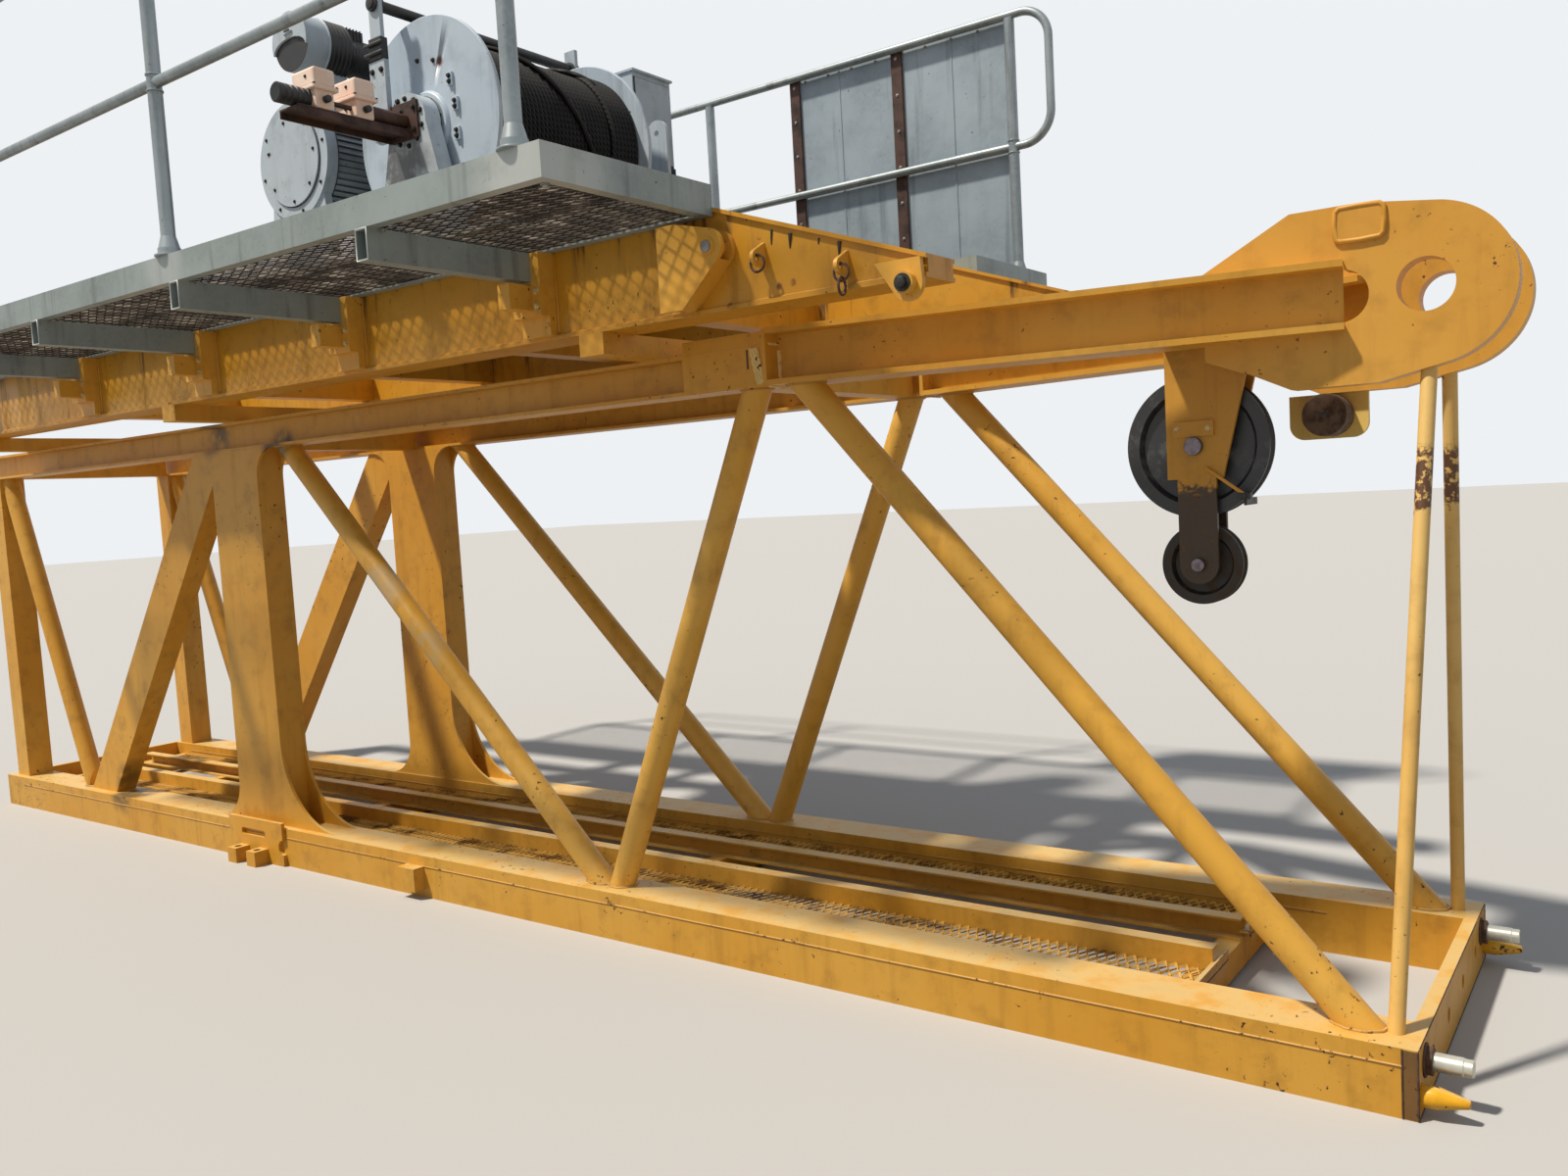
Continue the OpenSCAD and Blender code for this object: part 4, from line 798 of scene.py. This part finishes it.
def switch_boxes():
    """Two moulded boxes and an encoder on their rusty bracket, in place of the plain ones."""
    rear_x, front_x, floor_z, outer, wall, shaft_z = back(3.850), back(3.715), 3.420, -1.330, -0.806, 3.46
    bracket = [block((rear_x, outer, floor_z - 0.010), (front_x, wall, floor_z), 0.002),
               block((rear_x, outer, floor_z - 0.035), (rear_x + 0.008, wall, floor_z - 0.004), 0.002),
               block((front_x - 0.008, outer, floor_z - 0.035), (front_x, wall, floor_z - 0.004), 0.002),
               block((back(3.845), -0.807, 3.385), (back(3.670), -0.7952, 3.540), 0.002),
               rod((back(3.750), wall, shaft_z), (back(3.750), -0.988, shaft_z), 0.030),
               rod((back(3.750), -0.985, shaft_z), (back(3.750), -1.25, shaft_z), 0.010)]
    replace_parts(joined("switch_bracket", bracket, brown_frame), "junction_boxes")
    low_x, high_x, lid_top = back(3.855), back(3.705), 3.576
    shells, screws, glands = [], [], []
    for y in (-1.078, -1.263):
        end = y + 0.098
        # Tray, flange, lid and the lid's raised panel, each as its inset, its levels and its edge
        for inset, bottom, top, edge in ((0.006, floor_z - 0.001, 3.492, 0.008), (-0.008, 3.490, 3.506, 0.004),
                                         (0, 3.504, lid_top, 0.010), (0.012, 3.570, 3.5795, 0.004)):
            shells.append(block((low_x + inset, y + inset, bottom), (high_x - inset, end - inset, top), edge))
        screws += [facing((x, side, 3.506), UP) for x in (low_x - 0.002, high_x + 0.002)
                   for side in (y - 0.002, end + 0.002)]
        middle = (low_x + high_x) / 2
        screws += [facing((middle + 0.02, y, 3.545), OUT), facing((middle, y + 0.004, 3.462), OUT)]
        glands.append(rod((high_x - 0.008, y + 0.05, 3.455), (high_x + 0.020, y + 0.05, 3.455), 0.014, sides=16))
        glands.append(rod((low_x + 0.03, y + 0.006, 3.45), (low_x + 0.03, y - 0.014, 3.45), 0.011, sides=16))
    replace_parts(joined("switch_box_shells", shells, box_plastic), "junction_boxes")
    bolts("switch_box_screws", screws, 0.005, 0.005, dark_bolt)
    profile = [(0, -1.255), (0.037, -1.255), (0.039, -1.258)]
    profile += grooves(-1.268, -0.024, 5, [(0.039, 0), (0.036, -0.002), (0.036, -0.008), (0.039, -0.010)])
    profile += [(0.039, -1.390), (0.033, -1.395), (0, -1.395)]
    encoder = turned(profile, Vector((back(3.770), 0, shaft_z)), steps=40)
    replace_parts(joined("shaft_encoder", [encoder] + glands, black_paint), "junction_boxes")
    heads = [facing((back(d), y, z), OUT) for d, y, z in
             ((3.80, -0.7952, 3.556), (3.771, -0.807, 3.503), (3.69, -0.807, 3.42), (3.69, -0.807, 3.51))]
    bolts("bracket_bolts", heads, 0.009, 0.011, dark_bolt)


def gear_side():
    """Covers, ribs and bolts of the gearbox and the brake on the far side."""
    face, foot_top, lid_top = 0.576, base_top + 0.024, 3.480
    covers = [turned([(0, face - 0.002), (r, face - 0.002), (r, face + 0.009), (r - 0.004, face + 0.012),
                      (r * 0.45, face + 0.012), (r * 0.42, face + 0.009), (0, face + 0.009)], axis, steps=64)
              for r, axis in ((0.125, drum_axis), (0.165, motor_axis))]
    covers.append(turned([(0.055, 0.002), (0.186, 0.002), (0.192, 0.006), (0.192, 0.150), (0.186, 0.153),
                          (0.055, 0.153)], motor_axis, steps=64, closed=True))
    covers += [block((x - 0.006, face - 0.002, base_top + 0.02), (x + 0.006, face + 0.009, 3.436), 0.002)
               for x in (back(d) for d in (4.86, 4.46, 4.22, 4.02, 3.64))]
    covers.append(block((back(4.93), 0.356, base_top - 0.002), (back(3.56), face + 0.009, foot_top)))
    covers.append(rod((back(4.2), 0.47, 3.60), (back(4.2), 0.47, 3.74), 0.028))
    joined("gearbox_covers", covers, winch_enamel)
    heads = ring_of(drum_axis, face + 0.011, 0.111, 10, IN, 0.1)
    heads += ring_of(motor_axis, face + 0.011, 0.150, 12, IN, 0.1)
    heads += ring_of(motor_axis, 0.002, 0.172, 8, OUT, 0.1)
    heads += [facing((back(d), face, foot_top), UP, d) for d in (4.88, 4.3, 3.9, 3.6)]
    heads += [facing((back(4.946), y, lid_top), UP, y) for y in (0.43, 0.54)]
    bolts("gearbox_bolts", heads, 0.009, 0.012, dark_bolt)
    breather = [rod((back(4.2), 0.47, 3.738), (back(4.2), 0.47, 3.776), 0.020),
                rod((back(4.2), 0.47, 3.770), (back(4.2), 0.47, 3.782), 0.030)]
    joined("gearbox_breather", breather, black_paint)


def cabinet():
    """Hinges, handle, door seal and vents of the cabinet, and the bolts of the winch's base."""
    door = back(3.702)
    parts = [rod((door + 0.004, 0.608, z - 0.035), (door + 0.004, 0.608, z + 0.035), 0.009, sides=16)
             for z in (3.15, 3.47, 3.82)]
    parts += [block((door - 0.002, 0.838, 3.42), (door + 0.008, 0.868, 3.56), 0.003),
              rod((door + 0.006, 0.853, 3.45), (door + 0.026, 0.853, 3.45), 0.008, sides=16),
              block((door + 0.020, 0.845, 3.44), (door + 0.028, 0.861, 3.54), 0.003)]
    joined("cabinet_hinges", parts, black_paint)
    seam = [(door - 0.0065, y, z) for y, z in ((0.612, 2.993), (0.878, 2.993), (0.878, 3.967), (0.612, 3.967))]
    joined("cabinet_door_seal", [bent_tube(seam, 0.004, cyclic=True)], cable_rubber)
    slats = []
    for i in range(8):
        z = 3.08 + 0.026 * i
        slats.append(block((back(3.95), 0.594, z), (back(3.77), 0.601, z + 0.012)))
        slats.append(block((back(4.0165), 0.66, z), (back(4.009), 0.83, z + 0.012)))
    joined("cabinet_vents", slats, winch_enamel)
    base = [facing((back(d), y, base_top), UP, d * y) for d in (3.16, 3.3, 4.15, 5.06, 5.29)
            for y in (-0.62, -0.50, 0.66)]
    bolts("base_bolts", base, 0.014, 0.018, zinc_bolt)
    bolts("far_bracket_pin", [facing((back(3.410), 0.415, z), OUT) for z in (3.34, 3.24)],
          0.010, 0.012, dark_bolt)


# Deck

web_y = 0.9495


def railings():
    """Flares and clamps of the rail posts, and bars, rivets and folds of the wind boards."""
    plat_top, rail_y, rail_z, post_r = 2.845, 1.6975, 3.495, 0.027
    flares, clamps = [], []
    for side in (-1, 1):
        for d in post_places:
            foot, rail = Vector((back(d), side * rail_y, plat_top)), Vector((back(d), side * rail_y, rail_z))
            flares.append(rod(foot + UP * 0.029, foot + UP * 0.075, 0.040, end_radius=post_r + 0.001, edge=0))
            flares.append(rod(foot - UP * 0.001, foot + UP * 0.006, 0.056, sides=32))
            clamps += [rod(rail + UP * (z - 0.004), rail + UP * (z + 0.004), post_r + 0.004)
                       for z in (-0.030, 0.030)]
    joined("rail_post_flares", flares, handrail_zinc)
    joined("rail_clamps", clamps, handrail_zinc)
    low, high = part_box("wind_boards")
    upright_x = (low.x, (low.x + high.x) / 2)
    bars = [block((x - 0.002, low.y - 0.0022, low.z), (x + 0.062, low.y + 0.0115, high.z - 0.002), 0.0015)
            for x in upright_x]
    bars += [block((low.x - 0.001, high.y - 0.001, z), (high.x, high.y + 0.014, z + 0.004), 0.001)
             for z in (low.z + 0.01, high.z - 0.015)]
    joined("wind_board_bars", bars, brown_frame)
    rivets = [facing((x + 0.03, low.y - 0.0022, z), OUT, z) for x in upright_x
              for z in (low.z + 0.08 + i * 0.19 for i in range(7))]
    rivets += [facing((low.x + 0.10 + i * 0.155, low.y + 0.012, z), OUT, i) for i in range(9)
               for z in (low.z + 0.03, high.z - 0.03)]
    bolts("wind_board_rivets", rivets, 0.006, 0.006, zinc_bolt)
    folds = [block((x, low.y + 0.0088, low.z + 0.004), (x + 0.010, low.y + 0.0128, high.z - 0.004), 0.0015)
             for x in (high.x - 0.010, low.x + 0.32, low.x + 1.02)]
    joined("wind_board_folds", folds, board_zinc)


def platforms():
    """Socket bolts, the outriggers' bright end rims and the bolts under the platforms' edges."""
    sockets = [facing((back(d) + x, -1.028, z), OUT, x) for d in outrigger_places for x in (-0.053, 0.053)
               for z in (2.545, 2.60)]
    bolts("socket_bolts", mirrored(sockets), 0.010, 0.012, pale_bolt)
    end_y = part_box("outriggers")[1].y - 0.001
    half, bottom, top = 0.0295, 2.6365, 2.7385
    rims = [bent_tube([(back(d) + x, side * end_y, z) for x, z in
                       ((-half, bottom), (half, bottom), (half, top), (-half, top))], 0.0024, cyclic=True, sides=1)
            for side in (-1, 1) for d in outrigger_places]
    joined("outrigger_rims", rims, pale_zinc)
    edge_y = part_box("platform_frames")[1].y - 0.06
    heads = [facing((back(d), side * edge_y, 2.739), -UP, d) for side in (-1, 1)
             for d in (2.05, 2.815, 2.885, 3.985, 4.055, 5.155, 5.225, 6.325, 6.395, 7.62)]
    bolts("platform_bolts", heads, 0.010, 0.010, zinc_bolt)


def girder_fittings():
    """Rings, pins, grease runs and weld beads of the deck's girders."""
    rings = []
    for y in (-0.994, 0.994):
        rings.append(hoop(Vector((back(1.800), 0, 2.551)), y, 0.027, 0.0045, count=28, sides=2))
        front_ring = Vector((back(1.480), 0, 2.476))
        rings.append(hoop(front_ring, y, 0.027, 0.0045, count=28, sides=2))
        # A second ring hangs in the front one, turned across it
        link = [front_ring + Vector((0, y + 0.020 / 0.027 * x, z - 0.043)) for x, z in arc(0.027, 0, 360, 29)[:-1]]
        rings.append(bent_tube(link, 0.0045, cyclic=True, sides=2))
    joined("lug_rings", rings, bare_rust)
    nut = facing((back(1.257), -1.008, 2.411), OUT, 0.3)
    bolts("tip_pin_nuts", mirrored([nut]), 0.019, 0.022, dark_bolt)
    pins = [rod((back(1.980), side * 0.944, 2.630), (back(1.980), side * 1.038, 2.630), 0.020) for side in (-1, 1)]
    joined("hook_pins", pins, pin_steel)
    # Grease has run over the sloping edge of the near girder's nose
    runs = [rod((back(d), -0.9480, top), (back(d + 0.004), -0.9485, foot), width, sides=12, end_radius=0.002)
            for d, top, foot, width in ((1.769, 2.660, 2.612, 0.005), (1.696, 2.636, 2.588, 0.008),
                                        (1.586, 2.603, 2.584, 0.004), (1.510, 2.580, 2.530, 0.008))]
    joined("girder_grease_runs", runs, grease_cake)
    beads = []
    for y in (-web_y, web_y):
        beads += [bent_tube([(back(d), y, z) for d in (first, 3.0, 5.0, 7.0, 7.99)], 0.005, sides=1)
                  for z, first in ((2.441, 1.35), (2.789, 2.15))]
        beads += [bent_tube([(back(d) + x, y, z) for z in (2.45, 2.6, 2.735)], 0.005, sides=1)
                  for d in outrigger_places for x in (-0.079, 0.079)]
    joined("girder_weld_beads", beads, deck_enamel)


# Frame


def bead_round(x, y, z, half_long):
    """A weld bead round a slanting tube's foot, an uneven ellipse on a level face."""
    half_wide, thick = 0.057, 0.006
    points = []
    for i in range(36):
        angle = 2 * math.pi * i / 36
        swell = 1 + 0.03 * math.sin(9 * angle)
        points.append((x + half_long * swell * math.cos(angle), y + half_wide * swell * math.sin(angle), z))
    return bent_tube(points, thick, cyclic=True, sides=2)


def frame_welds():
    """Weld beads where the braces meet the chords, and the chords' long seams."""
    on_chord, under_chord = chord_top + 0.001, top_chord_z - 0.001
    # Each end of a brace, and half the length of its tube's slanting cut
    ends = [(0.130, on_chord, 0.0757), (1.930, under_chord, 0.0757), (3.010, on_chord, 0.0618),
            (2.150, under_chord, 0.0618), (3.120, on_chord, 0.0806), (5.180, under_chord, 0.0806),
            (7.630, on_chord, 0.0612)]
    beads = [bead_round(back(d), y, z, half) for d, z, half in ends for y in (-side_y, side_y)]
    joined("brace_weld_beads", beads, seam_enamel)
    # The chords' long seams are thin beads in the darker enamel, which also stands in for the painted shadow line
    # under the fold a quarter of the way down the chords' sides
    seam_z, seams = 0.150, []
    for y in (-0.679, 0.679):
        wavy = [(back(0.42 * i), y, seam_z + 0.0008 * math.sin(7 * 0.42 * i)) for i in range(21)]
        seams.append(bent_tube(wavy, 0.003, sides=1))
    seams += [bent_tube([(back(d), y, seam_z) for d in (0.45, 3.0, 6.0, 8.4)], 0.003, sides=1)
              for y in (-0.477, 0.477)]
    joined("chord_seams", seams, seam_enamel)


def top_joints():
    """Beads and side plates of the joints between front arms and top chords, and painted shade strips for their
    grooves.
    """
    joint_x, plate_face = back(2.042), 0.0685
    beads, plates, grooved = [], [], []
    for out in (-1, 1):
        y = out * side_y
        # The web's bead is the thickest of all, between the beads across both flanges
        points = [(joint_x + 0.004 * math.sin(i * 1.9), y + out * 0.0065, top_chord_z + 0.016 + i * 0.0115)
                  for i in range(11)]
        beads.append(bent_tube(points, 0.011))
        for z in (top_chord_z - 0.001, top_chord_z + 0.151):
            points = [(joint_x + 0.002 * math.sin(i * 2.3), y + (i - 5) * 0.0138, z) for i in range(11)]
            beads.append(bent_tube(points, 0.006, sides=2))
        # Wide rough run on the side plate, laid in three passes
        for shift, phase in ((0.0, 0.4), (0.013, 2.1), (0.026, 4.0)):
            points = [(back(2.120 - shift - 0.0025 * i) + 0.003 * math.sin(2.3 * i + phase),
                       y + out * plate_face, top_chord_z + 0.141 - 0.011 * i) for i in range(13)]
            beads.append(bent_tube(points, 0.0085))
        # Side plate, packing plate on top, and a dark strip on the side plate that is the painted shade of a groove
        for pieces, start, end, inner, outer, bottom, top, edge in (
                (plates, 2.450, 2.060, 0.0605, plate_face, 0.009, 0.141, 0.002),
                (plates, 2.445, 2.062, 0.005, 0.0695, 0.149, 0.199, 0.004),
                (grooved, 2.142, 2.134, 0.0675, 0.0700, 0.068, 0.140, 0.0008)):
            low, high = sorted((y + out * inner, y + out * outer))
            pieces.append(block((back(start), low, top_chord_z + bottom),
                                (back(end), high, top_chord_z + top), edge))
    joined("joint_weld_beads", beads, bead_paint)
    joined("joint_side_plates", plates, frame_enamel)
    joined("joint_groove_shade", grooved, brown_frame)


def eye_pads():
    """Rounded bead round the pad near the top of each eye plate."""
    corners = [(0.214, 2.464), (0.217, 2.505), (0.214, 2.544), (0.204, 2.553), (0.150, 2.5545), (0.094, 2.553),
               (0.083, 2.544), (0.081, 2.505), (0.084, 2.468), (0.094, 2.458), (0.150, 2.455), (0.204, 2.457)]
    pads = [bent_tube([(back(d), y, z) for d, z in corners], 0.008, cyclic=True, sides=2)
            for y in (-0.2345, 0.2345)]
    joined("eye_pad_beads", pads, eye_enamel)


def front_end():
    """Pins, studs and rusty edges of the front end plate, painted shade on its narrow sides, and the angles where
    the walkways end.
    """
    face = front + 0.040
    cone = [(0, -0.001), (0.030, -0.001), (0.0315, 0.004), (0.0315, 0.040), (0.030, 0.044), (0.0135, 0.113),
            (0.011, 0.120), (0, 0.120)]
    stud = [(0, -0.001), (0.0265, -0.001), (0.0265, 0.095), (0.0245, 0.098), (0.0245, 0.118), (0.022, 0.121),
            (0, 0.121)]
    cones = [turned_along_x([(r, face + x) for r, x in cone], y, 0.062) for y in (-0.638, 0.638)]
    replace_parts(joined("cone_pins", cones, pin_yellow), "guide_pins")
    stud_y, stud_z = 0.568, 0.132
    studs = [turned_along_x([(r, face + x) for r, x in stud], y, stud_z) for y in (-stud_y, stud_y)]
    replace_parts(joined("round_studs", studs, stud_zinc), "guide_pins")
    nuts = [rod((face - 0.001, y, stud_z), (face + length, y, stud_z), radius, sides=sides)
            for y in (-stud_y, stud_y) for length, radius, sides in ((0.022, 0.043, 6), (0.005, 0.048, 32))]
    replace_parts(joined("stud_nuts", nuts, bare_rust), "guide_pins")
    low_z, high_z, rim_x = 0.003, 0.197, face - 0.0005
    levels = (low_z, 0.05, 0.10, 0.15, high_z)
    rims = [bent_tube([(rim_x, y, z) for z in levels], 0.0035, sides=1) for y in (-0.678, 0.678)]
    rims += [bent_tube([(rim_x, y, z) for y in (-0.676, -0.3, 0.3, 0.676)], 0.003, sides=1)
             for z in (low_z, high_z)]
    rims += [bent_tube([(front + 0.0005, y, z) for z in levels], 0.003, sides=1) for y in (-0.679, 0.679)]
    joined("end_plate_edges", rims, bare_rust)
    # Thin dark brown sheets on the end plate's two narrow sides are painted shade, where that face lies in shadow
    sides = [block((front + 0.001, y - 0.0012, low_z), (front + 0.0385, y + 0.0012, high_z), 0.0005)
             for y in (-0.678, 0.678)]
    joined("end_plate_side_shade", sides, brown_enamel)
    end_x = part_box("walkway_gratings")[1].x
    angles = []
    for out in (-1, 1):
        for start, inner, outer, bottom, top in ((-0.004, 0.130, 0.470, 0.150, 0.156),
                                                 (0.030, 0.135, 0.468, 0.128, 0.186)):
            low, high = sorted((out * inner, out * outer))
            angles.append(block((end_x + start, low, bottom), (end_x + 0.036, high, top), 0.001))
    joined("walkway_end_angles", angles, seam_enamel)


def hanger_fittings():
    """Keeper bolts, axle ends, the clamped rod, and the stored pin's rusty shell with a black disc of painted shade
    for its dimple.
    """
    keepers = [facing((back(0.710) + x, side * 0.070, 1.943), IN * side, x) for side in (-1, 1)
               for x in (-0.052, 0.052)]
    bolts("keeper_bolts", keepers, 0.008, 0.008, pale_bolt)
    for name, x, z, radius, body in (("sheave_axle_ends", back(0.710), 1.885, 0.0295, "rope_sheave"),
                                     ("tail_axle_ends", back(0.705), 1.485, 0.0215, "tail_sheave")):
        ends = [rod((x, side * 0.0772, z), (x, side * 0.0795, z), radius, edge=0.001) for side in (-1, 1)]
        joined(name, ends, axle_steel, body)
    lever = rod((back(0.672), -0.071, 1.812), (back(0.545), -0.071, 1.715), 0.006, sides=12)
    joined("rope_keeper_rod", [lever], eye_enamel)
    clamp = [block((back(0.566), -0.082, 1.700), (back(0.524), -0.052, 1.722)),
             rod((back(0.545), -0.088, 1.711), (back(0.545), -0.050, 1.711), 0.009, sides=6),
             block((back(0.552), -0.062, 1.680), (back(0.541), 0.062, 1.704), 0.002)]
    joined("rope_keeper_clamp", clamp, black_paint)
    # The stored pin has rusted brown all over, and a black disc on its end is the painted shade of the dimple there
    pin = Vector((back(0.325), 0, 1.961))
    shell = turned([(0, 0.0632), (0.0665, 0.0632), (0.0692, 0.066), (0.0692, 0.2545), (0.0665, 0.2572),
                    (0, 0.2572)], pin, steps=64)
    joined("stored_pin_rust", [shell], pin_rust)
    dimple = rod(pin + IN * 0.0622, pin + IN * 0.0645, 0.010, edge=0.0005)
    joined("stored_pin_dimple_shade", [dimple], black_paint)


photographed_from()
studio()
gratings()
drum()
pedestals()
motor()
blower()
switch_boxes()
gear_side()
cabinet()
railings()
platforms()
girder_fittings()
frame_welds()
top_joints()
eye_pads()
front_end()
hanger_fittings()
